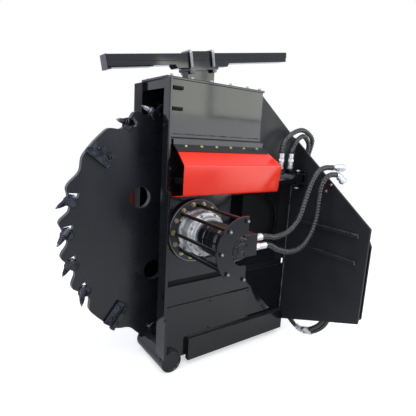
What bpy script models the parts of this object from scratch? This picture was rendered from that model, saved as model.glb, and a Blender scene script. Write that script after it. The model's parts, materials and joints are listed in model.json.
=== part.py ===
"""Skid-steer disc stump grinder: a toothed disc on a hydraulic motor that slides in a box frame.

Units are metres, +Z is up, -X is the cutting end and +X is the loader end.
The origin is on the ground, under the middle of the machine.
"""
import bpy
import bmesh
from math import atan2, cos, pi, radians, sin, sqrt
from mathutils import Matrix, Vector

# ---- driving dimensions ------------------------------------------------------------------
GAP = 0.0003                 # between pieces that touch

BOX_HALF_WIDTH = 0.116       # to the outer faces of the two side plates
SIDE_SHEET = 0.012
FRONT_X = -0.2316            # front edge of the side plates
BOX_REAR_X = 0.309           # rear edge of the tall part of the box
WING_X = 0.585               # front face of the two rear wings
LID_Z = 1.367                # underside of the lid
GUSSET_TOP_Z = 1.353
WING_TOP_Z = 1.150

WHEEL = Vector((-0.065, 0.030, 0.700))   # centre of the cutting disc
DISC_SHEET = 0.030
BODY_RADIUS = 0.584          # crest of the disc between two picks
GULLET_RADIUS = 0.549
TIP_RADIUS = 0.597
PICKS_PER_QUARTER = 4
PICK_STEP = radians(14.7)
QUARTER = radians(90)
FIRST_SIDE_CUTTER = radians(143)

SLOT_RADIUS = 0.154          # the motor's slot in the near side plate
SLOT_LENGTH = 0.396          # between the centres of its round ends
RAIL_GROOVE = (0.432, 0.463)     # open strip below the slot, over the lower rail
BRACKET_SLOT_Z = (0.922, 0.956)

CARRIAGE_Y = (-0.1025, -0.0845)
CARRIAGE_X = (-0.222, 0.160)
CARRIAGE_Z = (0.499, 0.994)
FLANGE_RADIUS = 0.149
FLANGE_FACE_Y = -0.137
GUARD_FACE_Y = -0.480
GUARD_BOLT_CIRCLE = 0.120
GUARD_ROD_ANGLES = [radians(a) for a in (90, 135, 180, 225, 270)]

CYLINDER_Y, CYLINDER_Z = -0.190, 0.939
BARREL_RADIUS = 0.033
ROD_RADIUS = 0.016
ROD_PIN_X = -0.165
ANCHOR_PIN_X = 0.541
PIN_RADIUS = 0.009

TUBE_X, TUBE_Z, TUBE_RADIUS = -0.177, 0.053, 0.053
RUNNER_Z = (0.030, 0.146)
WING_SHEET = 0.012
WING_HALF_WIDTH = 0.620
REAR_X = 0.662               # rear face of the loader plates
HOSE_RADIUS = 0.014

SPRING_CENTRE = Vector((-0.030, -0.030, 1.506))   # middle of the top leaf's upper face
SPRING_TILT = radians(10)
LEAF_HALF_WIDTH = 0.030

# ---- scene and materials -----------------------------------------------------------------
for old in list(bpy.data.objects):
    bpy.data.objects.remove(old, do_unlink=True)

PARTS = bpy.data.collections.new("stump_grinder")
TOOLS = bpy.data.collections.new("cutters")
bpy.context.scene.collection.children.link(PARTS)
bpy.context.scene.collection.children.link(TOOLS)


def make_material(name, colour, roughness, metallic):
    material = bpy.data.materials.new(name)
    material.use_nodes = True
    shader = material.node_tree.nodes["Principled BSDF"]
    shader.inputs["Base Color"].default_value = (*colour, 1.0)
    shader.inputs["Roughness"].default_value = roughness
    shader.inputs["Metallic"].default_value = metallic
    return material


BLACK = make_material("black_paint", (0.012, 0.012, 0.014), 0.25, 0.0)
RED = make_material("red_paint", (0.62, 0.012, 0.010), 0.20, 0.0)
ZINC = make_material("zinc_plate", (0.62, 0.60, 0.52), 0.35, 1.0)
CAST = make_material("silver_paint", (0.48, 0.49, 0.50), 0.40, 0.6)
STEEL = make_material("tool_steel", (0.10, 0.10, 0.11), 0.35, 0.9)
CHROME = make_material("chrome_rod", (0.75, 0.76, 0.78), 0.08, 1.0)
HOSE = make_material("hose_wrap", (0.025, 0.025, 0.028), 0.45, 0.0)


def empty(name, location):
    guide = bpy.data.objects.new(name, None)
    guide.location = location
    PARTS.objects.link(guide)
    return guide


CARRIAGE = empty("carriage_slide", WHEEL)
CUTTER = empty("cutter_spin", WHEEL)
SPRING = empty("spring_tilt", SPRING_CENTRE)
SPRING.rotation_euler.y = -SPRING_TILT


# ---- helpers -------------------------------------------------------------------------------
def add(name, mesh, material, parent=None, smooth=True):
    """Put a mesh in the parts collection under a name."""
    mesh.name = name
    mesh.materials.clear()
    mesh.materials.append(material)
    if smooth:
        mesh.shade_smooth()
        mesh.set_sharp_from_angle(angle=radians(35))
    obj = bpy.data.objects.new(name, mesh)
    obj.parent = parent
    PARTS.objects.link(obj)
    return obj


def mesh_from(bm):
    mesh = bpy.data.meshes.new("piece")
    bm.normal_update()
    bm.to_mesh(mesh)
    bm.free()
    return mesh


def box(name, low, high, material, parent=None):
    low, high = Vector(low), Vector(high)
    bm = bmesh.new()
    bmesh.ops.create_cube(bm, size=1.0)
    bmesh.ops.scale(bm, vec=high - low, verts=bm.verts)
    bmesh.ops.translate(bm, vec=(low + high) / 2, verts=bm.verts)
    return add(name, mesh_from(bm), material, parent, smooth=False)


def rod(name, start, end, radius, material, parent=None, segments=24, end_radius=None):
    """A cylinder, or a cone when end_radius is given, between two points."""
    start, end = Vector(start), Vector(end)
    along = end - start
    bm = bmesh.new()
    bmesh.ops.create_cone(
        bm, cap_ends=True, segments=segments, radius1=radius,
        radius2=radius if end_radius is None else end_radius, depth=along.length)
    turn = along.to_track_quat("Z", "Y").to_matrix().to_4x4()
    bmesh.ops.transform(bm, matrix=Matrix.Translation((start + end) / 2) @ turn, verts=bm.verts)
    return add(name, mesh_from(bm), material, parent)


def evaluated_mesh(obj):
    """The object's mesh with its modifiers or curve settings applied; the object is removed."""
    bpy.context.view_layer.update()
    graph = bpy.context.evaluated_depsgraph_get()
    mesh = bpy.data.meshes.new_from_object(obj.evaluated_get(graph))
    bpy.data.objects.remove(obj, do_unlink=True)
    bm = bmesh.new()
    bm.from_mesh(mesh)
    bmesh.ops.remove_doubles(bm, verts=bm.verts, dist=0.00001)
    bm.to_mesh(mesh)
    bm.free()
    return mesh


SHEET_TURNS = {
    "X": Matrix(((0, 0, 1, 0), (1, 0, 0, 0), (0, 1, 0, 0), (0, 0, 0, 1))),
    "Y": Matrix(((1, 0, 0, 0), (0, 0, -1, 0), (0, 1, 0, 0), (0, 0, 0, 1))),
    "Z": Matrix.Identity(4),
}
SHEET_NORMALS = {"X": Vector((1, 0, 0)), "Y": Vector((0, 1, 0)), "Z": Vector((0, 0, 1))}


def sheet(name, outlines, normal, low, high, material, parent=None):
    """A flat plate with holes: outlines in the plane across `normal`, from low to high along it."""
    curve = bpy.data.curves.new(name, "CURVE")
    curve.dimensions = "2D"
    curve.fill_mode = "BOTH"
    curve.extrude = (high - low) / 2
    for outline in outlines:
        spline = curve.splines.new("POLY")
        spline.points.add(len(outline) - 1)
        spline.use_cyclic_u = True
        for point, (a, b) in zip(spline.points, outline):
            point.co = (a, b, 0.0, 1.0)
    flat = bpy.data.objects.new(name, curve)
    bpy.context.scene.collection.objects.link(flat)
    mesh = evaluated_mesh(flat)
    middle = SHEET_NORMALS[normal] * (low + high) / 2
    mesh.transform(Matrix.Translation(middle) @ SHEET_TURNS[normal])
    return add(name, mesh, material, parent)


def turned(name, profile, material, parent=None, steps=32, closed=False):
    """A solid turned about the Y axis, from (radius, y) points down its outer side."""
    bm = bmesh.new()
    verts = [bm.verts.new((radius, 0.0, y)) for radius, y in profile]
    for first, second in zip(verts, verts[1:]):
        bm.edges.new((first, second))
    if closed:
        bm.edges.new((verts[-1], verts[0]))
    blank = bpy.data.objects.new(name, mesh_from(bm))
    bpy.context.scene.collection.objects.link(blank)
    lathe = blank.modifiers.new("turn", "SCREW")
    lathe.steps = lathe.render_steps = steps
    lathe.use_merge_vertices = True
    lathe.merge_threshold = 0.00001
    mesh = evaluated_mesh(blank)
    mesh.transform(Matrix(((1, 0, 0, 0), (0, 0, 1, 0), (0, -1, 0, 0), (0, 0, 0, 1))))
    return add(name, mesh, material, parent)


def smooth_route(points, spacing):
    """Points along a Catmull-Rom curve through the given ones, about `spacing` apart."""
    points = [Vector(p) for p in points]
    padded = [2 * points[0] - points[1], *points, 2 * points[-1] - points[-2]]
    route = [points[0]]
    for p0, p1, p2, p3 in zip(padded, padded[1:], padded[2:], padded[3:]):
        count = max(1, round((p2 - p1).length / spacing))
        for step in range(1, count + 1):
            t = step / count
            route.append(0.5 * (2 * p1 + (p2 - p0) * t + (2 * p0 - 5 * p1 + 4 * p2 - p3) * t * t
                                + (3 * p1 - p0 - 3 * p2 + p3) * t ** 3))
    return route


def tube(name, points, radius, material, parent=None, resolution=2):
    """A round bar or hose along a line of points."""
    curve = bpy.data.curves.new(name, "CURVE")
    curve.dimensions = "3D"
    curve.bevel_depth = radius
    curve.bevel_resolution = resolution
    curve.use_fill_caps = True
    spline = curve.splines.new("POLY")
    spline.points.add(len(points) - 1)
    for point, co in zip(spline.points, points):
        point.co = (*co, 1.0)
    line = bpy.data.objects.new(name, curve)
    bpy.context.scene.collection.objects.link(line)
    return add(name, evaluated_mesh(line), material, parent)


def combine(obj, tools, operation):
    """Boolean the tools into obj; they stay as hidden wire guides."""
    for index, tool in enumerate(tools):
        step = obj.modifiers.new(f"{operation.lower()}_{index}", "BOOLEAN")
        step.operation = operation
        step.solver = "EXACT"
        step.object = tool
        PARTS.objects.unlink(tool)
        TOOLS.objects.link(tool)
        tool.hide_render = True
        tool.display_type = "WIRE"


def arc(centre, radius, start, end, count):
    """Points on an arc, both ends included; angles in radians."""
    turns = [start + (end - start) * i / (count - 1) for i in range(count)]
    return [(centre[0] + radius * cos(t), centre[1] + radius * sin(t)) for t in turns]


def circle(centre, radius, count):
    return arc(centre, radius, 0.0, 2 * pi * (count - 1) / count, count)


def rounded_slot(x0, x1, z, radius, count):
    """A slot along X with round ends, between two centres."""
    return (arc((x1, z), radius, -pi / 2, pi / 2, count)
            + arc((x0, z), radius, pi / 2, 3 * pi / 2, count))


def polar(radius, angle):
    return radius * cos(angle), radius * sin(angle)


def mirrored(outline):
    """The same outline with its first coordinate negated."""
    return [(-a, b) for a, b in reversed(outline)]


# ---- box frame -------------------------------------------------------------------------------
def tube_notch(x_front, z_bottom):
    """The arc that clears the skid tube in a side plate's lower front corner."""
    radius = TUBE_RADIUS + 0.0008
    drop = z_bottom - TUBE_Z
    start, end = radians(150), atan2(drop, sqrt(radius ** 2 - drop ** 2))
    curve = arc((TUBE_X, TUBE_Z), radius, start, end, 12)
    return [(x_front, curve[0][1]), *curve]


def build_side_plates():
    near = (-BOX_HALF_WIDTH, -BOX_HALF_WIDTH + SIDE_SHEET)
    far = (BOX_HALF_WIDTH - SIDE_SHEET, BOX_HALF_WIDTH)
    rear = WING_X - GAP
    top = LID_Z - GAP
    upper_edge = [(rear, WING_TOP_Z), (BOX_REAR_X, GUSSET_TOP_Z), (BOX_REAR_X, top), (FRONT_X, top)]

    groove_low, groove_high = RAIL_GROOVE
    motor_slot = rounded_slot(WHEEL.x, WHEEL.x + SLOT_LENGTH, WHEEL.z, SLOT_RADIUS, 16)
    slot_low, slot_high = BRACKET_SLOT_Z
    bracket_radius = (slot_high - slot_low) / 2
    bracket_slot = rounded_slot(-0.190, 0.150, (slot_low + slot_high) / 2, bracket_radius, 6)
    sheet("near_side_plate",
          [[(FRONT_X, groove_high), (rear, groove_high), *upper_edge], motor_slot, bracket_slot],
          "Y", *near, BLACK)

    bottom = 0.050
    notch = tube_notch(FRONT_X, bottom)
    sheet("near_lower_plate",
          [[*notch, (rear, bottom), (rear, groove_low), (FRONT_X, groove_low)]], "Y", *near, BLACK)
    sheet("near_cover_plate",
          [[(-0.2250, 0.154), (0.320, 0.154), (0.320, 0.330), (-0.2250, 0.330)]],
          "Y", -BOX_HALF_WIDTH - GAP - 0.008, -BOX_HALF_WIDTH - GAP, BLACK)

    far_plate = sheet("far_side_plate", [[*notch, (rear, bottom), *upper_edge]], "Y", *far, BLACK)
    bar = box("far_front_bar", (FRONT_X - 0.0143, BOX_HALF_WIDTH - SIDE_SHEET, 0.125),
              (FRONT_X + 0.001, 0.191, LID_Z - 0.001), BLACK)
    combine(far_plate, [bar], "UNION")


def build_lid():
    """A bolted lid with a lip across the front and one across the rear."""
    lid = box("cap_plate", (-0.2426, -0.121, LID_Z), (0.315, 0.121, LID_Z + 0.010), BLACK)
    inner = BOX_HALF_WIDTH - SIDE_SHEET - 0.0005
    front_lip = box("front_lip", (-0.2316, -inner, 1.329), (-0.2216, inner, LID_Z + 0.002), BLACK)
    rear_lip = box("rear_lip", (0.299, -inner, 1.324), (0.309, inner, LID_Z + 0.002), BLACK)
    combine(lid, [front_lip, rear_lip], "UNION")


def build_base():
    """Front uprights, skid tube, runners and the rear cross tube."""
    inner = -BOX_HALF_WIDTH + SIDE_SHEET
    foot = TUBE_Z + TUBE_RADIUS + 0.0008
    upright = [(-0.185, foot), (inner, foot), (inner, LID_Z - GAP), (-0.152, LID_Z - GAP),
               (-0.152, 0.897), (-0.174, 0.897), (-0.174, 0.299), (-0.185, 0.299)]
    sheet("near_front_bar", [upright], "X", FRONT_X - 0.0143, FRONT_X - GAP, BLACK)
    rod("front_skid_tube", (TUBE_X, -0.143, TUBE_Z), (TUBE_X, 0.135, TUBE_Z), TUBE_RADIUS,
        BLACK, segments=40)
    for side, name in ((-1, "near_runner"), (1, "far_runner")):
        inside, outside = side * (BOX_HALF_WIDTH + GAP), side * 0.142
        box(name, (-0.082, min(inside, outside), RUNNER_Z[0]),
            (WING_X - GAP, max(inside, outside), RUNNER_Z[1]), BLACK)
    reach = BOX_HALF_WIDTH - SIDE_SHEET - GAP
    box("rear_cross_tube", (0.500, -reach, 0.0), (0.580, reach, 0.090), BLACK)


def build_wings():
    """The two halves of the rear plate, each with two stiffening bars and a loader plate."""
    inner = BOX_HALF_WIDTH - SIDE_SHEET
    outer = WING_HALF_WIDTH
    half = [(inner, 0.074), (outer, 0.273), (outer, 0.753), (inner, 1.1595)]
    bars = (("upper", 0.211, 0.567, 0.705), ("lower", 0.263, 0.566, 0.572))
    face = WING_X + WING_SHEET + GAP
    loader = [(face, 0.270), (REAR_X, 0.270), (REAR_X, 0.654), (0.622, 0.704), (face, 0.704),
              (face, 0.692), (0.617, 0.692), (REAR_X - 0.010, 0.649), (REAR_X - 0.010, 0.280),
              (face, 0.280)]
    for side, name in ((-1, "near"), (1, "far")):
        outline = half if side > 0 else mirrored(half)
        wing = sheet(f"{name}_wing", [outline], "X", WING_X, WING_X + WING_SHEET, BLACK)
        stiffeners = []
        for label, start, end, z in bars:
            ys = sorted((side * start, side * end))
            stiffeners.append(box(f"{name}_{label}_bar", (WING_X - 0.012, ys[0], z - 0.008),
                                  (WING_X + 0.004, ys[1], z + 0.008), BLACK))
        combine(wing, stiffeners, "UNION")
        ys = sorted((side * 0.142, side * 0.598))
        sheet(f"{name}_attach_plate", [loader], "Y", *ys, BLACK)


def build_rails():
    """Two bars inside the near side plate that the carriage plate slides between, and a web behind it."""
    inner = -BOX_HALF_WIDTH + SIDE_SHEET + GAP
    lip_front, lip_back = CARRIAGE_Y[1] + 0.0015, CARRIAGE_Y[1] + 0.0135
    low, high = CARRIAGE_Z[0] - 0.0015, CARRIAGE_Z[1] + 0.0015
    upper = [(inner, high), (lip_front, high), (lip_front, high - 0.020), (lip_back, high - 0.020),
             (lip_back, high + 0.030), (inner, high + 0.030)]
    lower = [(inner, low), (inner, RAIL_GROOVE[0] - 0.010), (lip_back, RAIL_GROOVE[0] - 0.010),
             (lip_back, low + 0.020), (lip_front, low + 0.020), (lip_front, low)]
    sheet("upper_slide_rail", [upper], "X", -0.225, 0.575, STEEL)
    rail = sheet("lower_slide_rail", [lower], "X", -0.225, 0.575, STEEL)
    web = box("slide_web", (0.270, lip_back - 0.001, RAIL_GROOVE[0]),
              (0.575, lip_back + 0.007, high + 0.030), STEEL)
    step = box("web_step", (0.260, lip_back - 0.010, high - 0.020 - GAP),
               (0.585, lip_back + GAP, high + 0.040), STEEL)
    combine(web, [step], "DIFFERENCE")
    combine(rail, [web], "UNION")


# ---- slide cylinder ------------------------------------------------------------------------
def build_cover():
    """The red folded cover over the cylinder, open at both ends, and its bolted top strip."""
    wall = -BOX_HALF_WIDTH - 0.0010
    fold = [(wall, 1.119), (wall, 1.091), (-0.230, 1.013), (-0.230, 0.887), (wall, 0.866)]
    right_ends = [0.335, 0.335, 0.365, 0.365, 0.365]
    left_ends = [-0.205, -0.205, -0.210, -0.210, -0.210]
    bm = bmesh.new()
    rows = [[bm.verts.new((x, y, z)) for x in (left, right)]
            for (y, z), left, right in zip(fold, left_ends, right_ends)]
    for upper, lower in zip(rows, rows[1:]):
        bm.faces.new((upper[0], lower[0], lower[1], upper[1]))
    shell = add("cylinder_cover", mesh_from(bm), RED, smooth=False)
    skin = shell.modifiers.new("sheet", "SOLIDIFY")
    skin.thickness = 0.004
    skin.offset = 1.0
    skin.use_even_offset = True

    slope = Vector((fold[2][0] - fold[1][0], fold[2][1] - fold[1][1])).normalized()
    outward = Vector((slope.y, -slope.x))
    strip = []
    for lift in (0.004 + GAP, 0.009 + GAP):
        end = Vector(fold[1]) + slope * 0.050 + outward * lift
        strip.append([(wall - lift, 1.119), (wall - lift, fold[1][1] + 0.525 * lift), tuple(end)])
    sheet("cover_strip", [strip[0] + strip[1][::-1]], "X", -0.204, 0.334, BLACK)


def build_cylinder():
    """The barrel with its rear eye, ports and the anchor on the near wing."""
    y, z = CYLINDER_Y, CYLINDER_Z
    barrel = rod("cylinder_barrel", (0.145, y, z), (0.500, y, z), BARREL_RADIUS, BLACK, segments=32)
    bore = rod("barrel_bore", (0.100, y, z), (0.468, y, z), 0.026, BLACK)
    gland = rod("barrel_gland", (0.140, y, z), (0.180, y, z), BARREL_RADIUS + 0.003, BLACK)
    gland_bore = rod("gland_bore", (0.100, y, z), (0.200, y, z), ROD_RADIUS + 0.0004, BLACK)
    eye = box("rear_eye", (0.490, y - 0.020, z - 0.019), (ANCHOR_PIN_X + 0.018, y + 0.020, z + 0.019),
              BLACK)
    eye_bore = rod("eye_bore", (ANCHOR_PIN_X, y, z - 0.05), (ANCHOR_PIN_X, y, z + 0.05),
                   PIN_RADIUS + GAP, BLACK)
    ports = [rod(f"port_{x}", (x, y, z + 0.029), (x, y, 1.069), 0.012, ZINC, segments=12)
             for x in (0.403, 0.474)]
    combine(barrel, [bore, gland], "DIFFERENCE")
    barrel.modifiers[1].operation = "UNION"
    combine(barrel, [gland_bore], "DIFFERENCE")
    combine(barrel, [eye, *ports], "UNION")
    combine(barrel, [eye_bore], "DIFFERENCE")

    face = WING_X - GAP
    anchor = box("cylinder_anchor", (face - 0.010, y - 0.030, z - 0.045),
                 (face, y + 0.030, z + 0.045), BLACK)
    lugs = [box(f"lug_{offset}", (ANCHOR_PIN_X - 0.020, y - 0.020, z + offset - 0.005),
                (face - 0.005, y + 0.020, z + offset + 0.005), BLACK) for offset in (-0.025, 0.025)]
    pin = rod("anchor_pin", (ANCHOR_PIN_X, y, z - 0.042), (ANCHOR_PIN_X, y, z + 0.040),
              PIN_RADIUS, ZINC)
    combine(anchor, [*lugs, pin], "UNION")


def build_rod():
    """The rod, its piston and the fork that grips the carriage's bracket."""
    y, z = CYLINDER_Y, CYLINDER_Z
    shaft = rod("cylinder_rod", (ROD_PIN_X + 0.030, y, z), (0.190, y, z), ROD_RADIUS, CHROME)
    piston = rod("piston", (0.187, y, z), (0.210, y, z), 0.0255, STEEL)
    fork = box("rod_fork", (ROD_PIN_X - 0.018, y - 0.018, z - 0.027),
               (ROD_PIN_X + 0.045, y + 0.018, z + 0.027), STEEL)
    mouth = box("fork_mouth", (ROD_PIN_X - 0.040, y - 0.040, z - 0.0115),
                (ROD_PIN_X + 0.022, y + 0.040, z + 0.0115), STEEL)
    eye = rod("fork_eye", (ROD_PIN_X, y, z - 0.06), (ROD_PIN_X, y, z + 0.06),
              PIN_RADIUS + GAP, STEEL)
    combine(shaft, [piston, fork], "UNION")
    combine(shaft, [mouth, eye], "DIFFERENCE")
    shaft.parent = CARRIAGE
    shaft.matrix_parent_inverse = Matrix.Translation(-WHEEL)


# ---- carriage and motor ----------------------------------------------------------------------
def build_carriage():
    plate = sheet("carriage_plate",
                  [[(CARRIAGE_X[0], CARRIAGE_Z[0]), (CARRIAGE_X[1], CARRIAGE_Z[0]),
                    (CARRIAGE_X[1], CARRIAGE_Z[1]), (CARRIAGE_X[0], CARRIAGE_Z[1])],
                   circle((WHEEL.x, WHEEL.z), 0.050, 32)],
                  "Y", *CARRIAGE_Y, BLACK)
    bracket = box("rod_bracket", (-0.195, CYLINDER_Y - 0.024, CYLINDER_Z - 0.010),
                  (-0.146, -0.095, CYLINDER_Z + 0.010), BLACK)
    pin = rod("rod_pin", (ROD_PIN_X, CYLINDER_Y, CYLINDER_Z - 0.038),
              (ROD_PIN_X, CYLINDER_Y, CYLINDER_Z + 0.038), PIN_RADIUS, ZINC)
    combine(plate, [bracket, pin], "UNION")
    plate.parent = CARRIAGE
    plate.matrix_parent_inverse = Matrix.Translation(-WHEEL)


def from_wheel(y):
    """A Y position in the wheel's own frame."""
    return y - WHEEL.y


def build_motor():
    face, back = from_wheel(FLANGE_FACE_Y), from_wheel(CARRIAGE_Y[0] - GAP)
    turned("motor_flange", [(FLANGE_RADIUS, back), (FLANGE_RADIUS, face + 0.003),
                            (FLANGE_RADIUS - 0.003, face), (0.060, face),
                            (0.060, back)], CAST, CARRIAGE, steps=64, closed=True)
    start = face - GAP
    gearbox = [(0.0, start), (0.100, start), (0.100, start - 0.012), (0.094, start - 0.020),
               (0.094, start - 0.060), (0.098, start - 0.064), (0.098, start - 0.076),
               (0.088, start - 0.088), (0.088, start - 0.108), (0.0, start - 0.108)]
    turned("motor_gearbox", gearbox, CAST, CARRIAGE, steps=40)
    begin = start - 0.108 - GAP
    body = [(0.0, begin), (0.074, begin), (0.074, begin - 0.120), (0.068, begin - 0.128),
            (0.068, begin - 0.172), (0.062, begin - 0.180), (0.0, begin - 0.180)]
    motor = turned("motor_body", body, BLACK, CARRIAGE, steps=40)
    port_y = from_wheel(-0.420)
    block = box("port_block", (0.020, port_y - 0.032, -0.040), (0.092, port_y + 0.032, 0.052), BLACK,
                CARRIAGE)
    fittings = [rod(f"fitting_{z}", (0.080, port_y, z), (end, port_y, z), 0.013, ZINC, CARRIAGE,
                    segments=12) for z, end in ((0.026, 0.133), (-0.014, 0.165))]
    combine(motor, [block, *fittings], "UNION")


def build_guard():
    """Five rods from the flange to a half-round plate that is cut away for the hoses."""
    face = from_wheel(GUARD_FACE_Y)
    edge, notch = 0.012, 0.066
    outer_start = radians(85)
    outline = (arc((0, 0), 0.139, outer_start, 2 * pi - outer_start, 17)
               + [(edge, -0.075)] + arc((0, 0), notch, radians(280), radians(80), 13)
               + [(edge, 0.075)])
    guard = sheet("motor_guard", [outline], "Y", face, face + 0.010, BLACK, CARRIAGE)
    rods, nuts = [], []
    for index, angle in enumerate(GUARD_ROD_ANGLES):
        x, z = polar(GUARD_BOLT_CIRCLE, angle)
        foot = from_wheel(FLANGE_FACE_Y) - GAP
        rods.append(rod(f"guard_rod_{index}", (x, foot, z), (x, face + 0.005, z), 0.008, BLACK,
                        CARRIAGE, segments=12))
        nuts.append(rod(f"guard_nut_{index}", (x, face + 0.004, z), (x, face - 0.007, z), 0.0085,
                        BLACK, CARRIAGE, segments=6))
    combine(guard, rods + nuts, "UNION")


# ---- cutting disc ----------------------------------------------------------------------------
def group_start(quarter):
    """Where a quarter's row of picks begins; the last row stands a little further round."""
    return FIRST_SIDE_CUTTER + quarter * QUARTER + radians(21.5 if quarter == 3 else 20)


def pocket_angles():
    """Where each pick's window sits, going round the disc a quarter at a time."""
    for quarter in range(4):
        start = group_start(quarter)
        for index in range(PICKS_PER_QUARTER):
            yield start + index * PICK_STEP


def rim_outline():
    """The scalloped rim: a gullet behind every pick and a dip behind every side cutter."""
    keys = []
    for quarter in range(4):
        cutter = FIRST_SIDE_CUTTER + quarter * QUARTER
        keys += [(cutter + radians(2), BODY_RADIUS), (cutter + radians(9), 0.562),
                 (cutter + radians(17), 0.584)]
        for index in range(PICKS_PER_QUARTER):
            window = group_start(quarter) + index * PICK_STEP
            keys += [(window + radians(0.8), 0.568), (window + radians(2.8), GULLET_RADIUS - 0.003),
                     (window + radians(6.2), GULLET_RADIUS), (window + radians(12), BODY_RADIUS)]
    keys.append((keys[0][0] + 2 * pi, keys[0][1]))
    points = []
    for (a0, r0), (a1, r1) in zip(keys, keys[1:]):
        count = max(2, round((a1 - a0) / radians(2.0)))
        for step in range(count):
            t = step / count
            blend = (1 - cos(pi * t)) / 2
            points.append(polar(r0 + (r1 - r0) * blend, a0 + (a1 - a0) * t))
    return points


def build_disc():
    half = DISC_SHEET / 2
    outlines = [rim_outline(), circle((0, 0), 0.0343, 24)]
    outlines += [circle(polar(0.262, FIRST_SIDE_CUTTER + radians(4) + q * QUARTER), 0.050, 24)
                 for q in range(4)]
    outlines += [[polar(0.570, window - radians(1.0)), polar(0.526, window - radians(2.2)),
                  polar(0.527, window + radians(1.2))] for window in pocket_angles()]
    disc = sheet("wheel_disc", outlines, "Y", -half, half, BLACK, CUTTER)
    holders = []
    for index, window in enumerate(pocket_angles()):
        base, tip = pick_line(index, window)
        along = (tip - base).normalized()
        holders.append(rod(f"holder_{index}", base - along * 0.022, base + along * 0.010, 0.019,
                           BLACK, CUTTER, segments=10))
    combine(disc, holders, "UNION")

    turned("wheel_hub", [(0.0, half + 0.010), (0.034, half + 0.010), (0.034, -half - GAP),
                         (0.100, -half - GAP), (0.100, -half - 0.035), (0.055, -half - 0.045),
                         (0.055, -0.108), (0.030, -0.110), (0.030, -0.166), (0.0, -0.166)],
           STEEL, CUTTER, steps=32)
    turned("hub_cap", [(0.0, half + 0.028), (0.070, half + 0.028), (0.076, half + 0.022),
                       (0.076, half + GAP), (0.0345, half + GAP), (0.0345, half + 0.012),
                       (0.0, half + 0.012)], STEEL, CUTTER, steps=32)


def pick_line(index, window):
    """The base and tip of a pick: picks lean to the near and the far side in turn."""
    side = -0.014 if index % 2 else 0.014
    base_x, base_z = polar(0.557, window + radians(2.3))
    tip_x, tip_z = polar(TIP_RADIUS, window + radians(6.8))
    return Vector((base_x, side * 0.4, base_z)), Vector((tip_x, side * 1.6, tip_z))


def build_picks():
    for index, window in enumerate(pocket_angles()):
        base, tip = pick_line(index, window)
        along = (tip - base).normalized()
        start = base + along * (0.010 + GAP)
        rod(f"pick_{index + 1:02d}", start, tip, 0.0145, STEEL, CUTTER, segments=12,
            end_radius=0.002)


def build_side_cutters():
    """A bolted plate with a raised cutting bar, on the near face, one for each quarter."""
    face = -DISC_SHEET / 2 - GAP
    for quarter in range(4):
        angle = FIRST_SIDE_CUTTER + quarter * QUARTER
        turn = Matrix.Rotation(-angle, 4, "Y")
        plate = box(f"side_cutter_{quarter + 1}", (0.468, face - 0.012, -0.055),
                    (0.586, face, 0.004), STEEL, CUTTER)
        bar = box(f"cutter_bar_{quarter + 1}", (0.475, face - 0.024, -0.014),
                  (0.594, face - 0.004, 0.008), STEEL, CUTTER)
        for piece in (plate, bar):
            piece.matrix_local = turn
        combine(plate, [bar], "UNION")


# ---- hoses and couplers ------------------------------------------------------------------------
def build_hoses():
    tube("motor_hose_upper", smooth_route(
        [(0.0685, -0.420, 0.726), (0.090, -0.420, 0.726), (0.130, -0.415, 0.718), (0.183, -0.405, 0.709),
         (0.268, -0.398, 0.721), (0.350, -0.385, 0.770), (0.396, -0.375, 0.852),
         (0.440, -0.366, 0.935), (0.490, -0.360, 0.995), (0.545, -0.360, 1.016),
         (0.582, -0.361, 1.017), (0.600, -0.361, 1.017)], 0.035), HOSE_RADIUS, HOSE)
    tube("motor_hose_lower", smooth_route(
        [(0.1005, -0.420, 0.686), (0.118, -0.420, 0.686), (0.150, -0.417, 0.674), (0.200, -0.412, 0.649),
         (0.296, -0.402, 0.624), (0.390, -0.392, 0.634), (0.458, -0.383, 0.690),
         (0.491, -0.380, 0.770), (0.495, -0.379, 0.850), (0.500, -0.380, 0.920),
         (0.526, -0.384, 0.968), (0.560, -0.389, 0.984),
         (0.584, -0.390, 0.984), (0.598, -0.390, 0.984)], 0.035), HOSE_RADIUS, HOSE)
    for name, start, drop in (("coupler_upper", Vector((0.6005, -0.361, 1.017)), 0.05),
                              ("coupler_lower", Vector((0.5985, -0.390, 0.984)), -0.90)):
        along = Vector((0.35, -0.75, drop)).normalized()
        elbow = start + Vector((0.016, 0, 0))
        body = rod(name, start, elbow + Vector((0.012, 0, 0)), 0.013, ZINC, segments=16)
        socket = rod(f"{name}_socket", elbow, elbow + along * 0.052, 0.0155, ZINC, segments=16)
        combine(body, [socket], "UNION")

    down_y = -0.1225
    for name, port_x, drop_x, low, crest in (
            ("cylinder_hose_front", 0.403, 0.643, 0.050, 1.199),
            ("cylinder_hose_rear", 0.474, 0.616, 0.075, 1.168)):
        span = drop_x - port_x
        tube(name, smooth_route(
            [(port_x, CYLINDER_Y, 1.0695), (port_x, CYLINDER_Y, 1.090),
             (port_x + 0.010, CYLINDER_Y, crest - 0.068),
             (port_x + 0.25 * span, -0.191, crest - 0.024), (port_x + 0.55 * span, -0.191, crest),
             (port_x + 0.80 * span, -0.189, crest - 0.015), (drop_x - 0.003, -0.185, crest - 0.050),
             (drop_x, -0.172, crest - 0.110), (drop_x, -0.140, 0.989), (drop_x, down_y, 0.909),
             (drop_x, down_y, 0.749), (drop_x, down_y, 0.589), (drop_x, down_y, 0.429),
             (drop_x, down_y, 0.229), (drop_x, -0.133, low + 0.090), (drop_x, -0.165, low + 0.035),
             (drop_x, -0.215, low + 0.003), (drop_x, -0.265, low), (drop_x, -0.325, low + 0.024),
             (drop_x, -0.380, low + 0.072), (drop_x, -0.414, low + 0.130),
             (drop_x, -0.420, 0.250), (drop_x, -0.420, 0.2695)], 0.030), HOSE_RADIUS - 0.001, HOSE)


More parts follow.
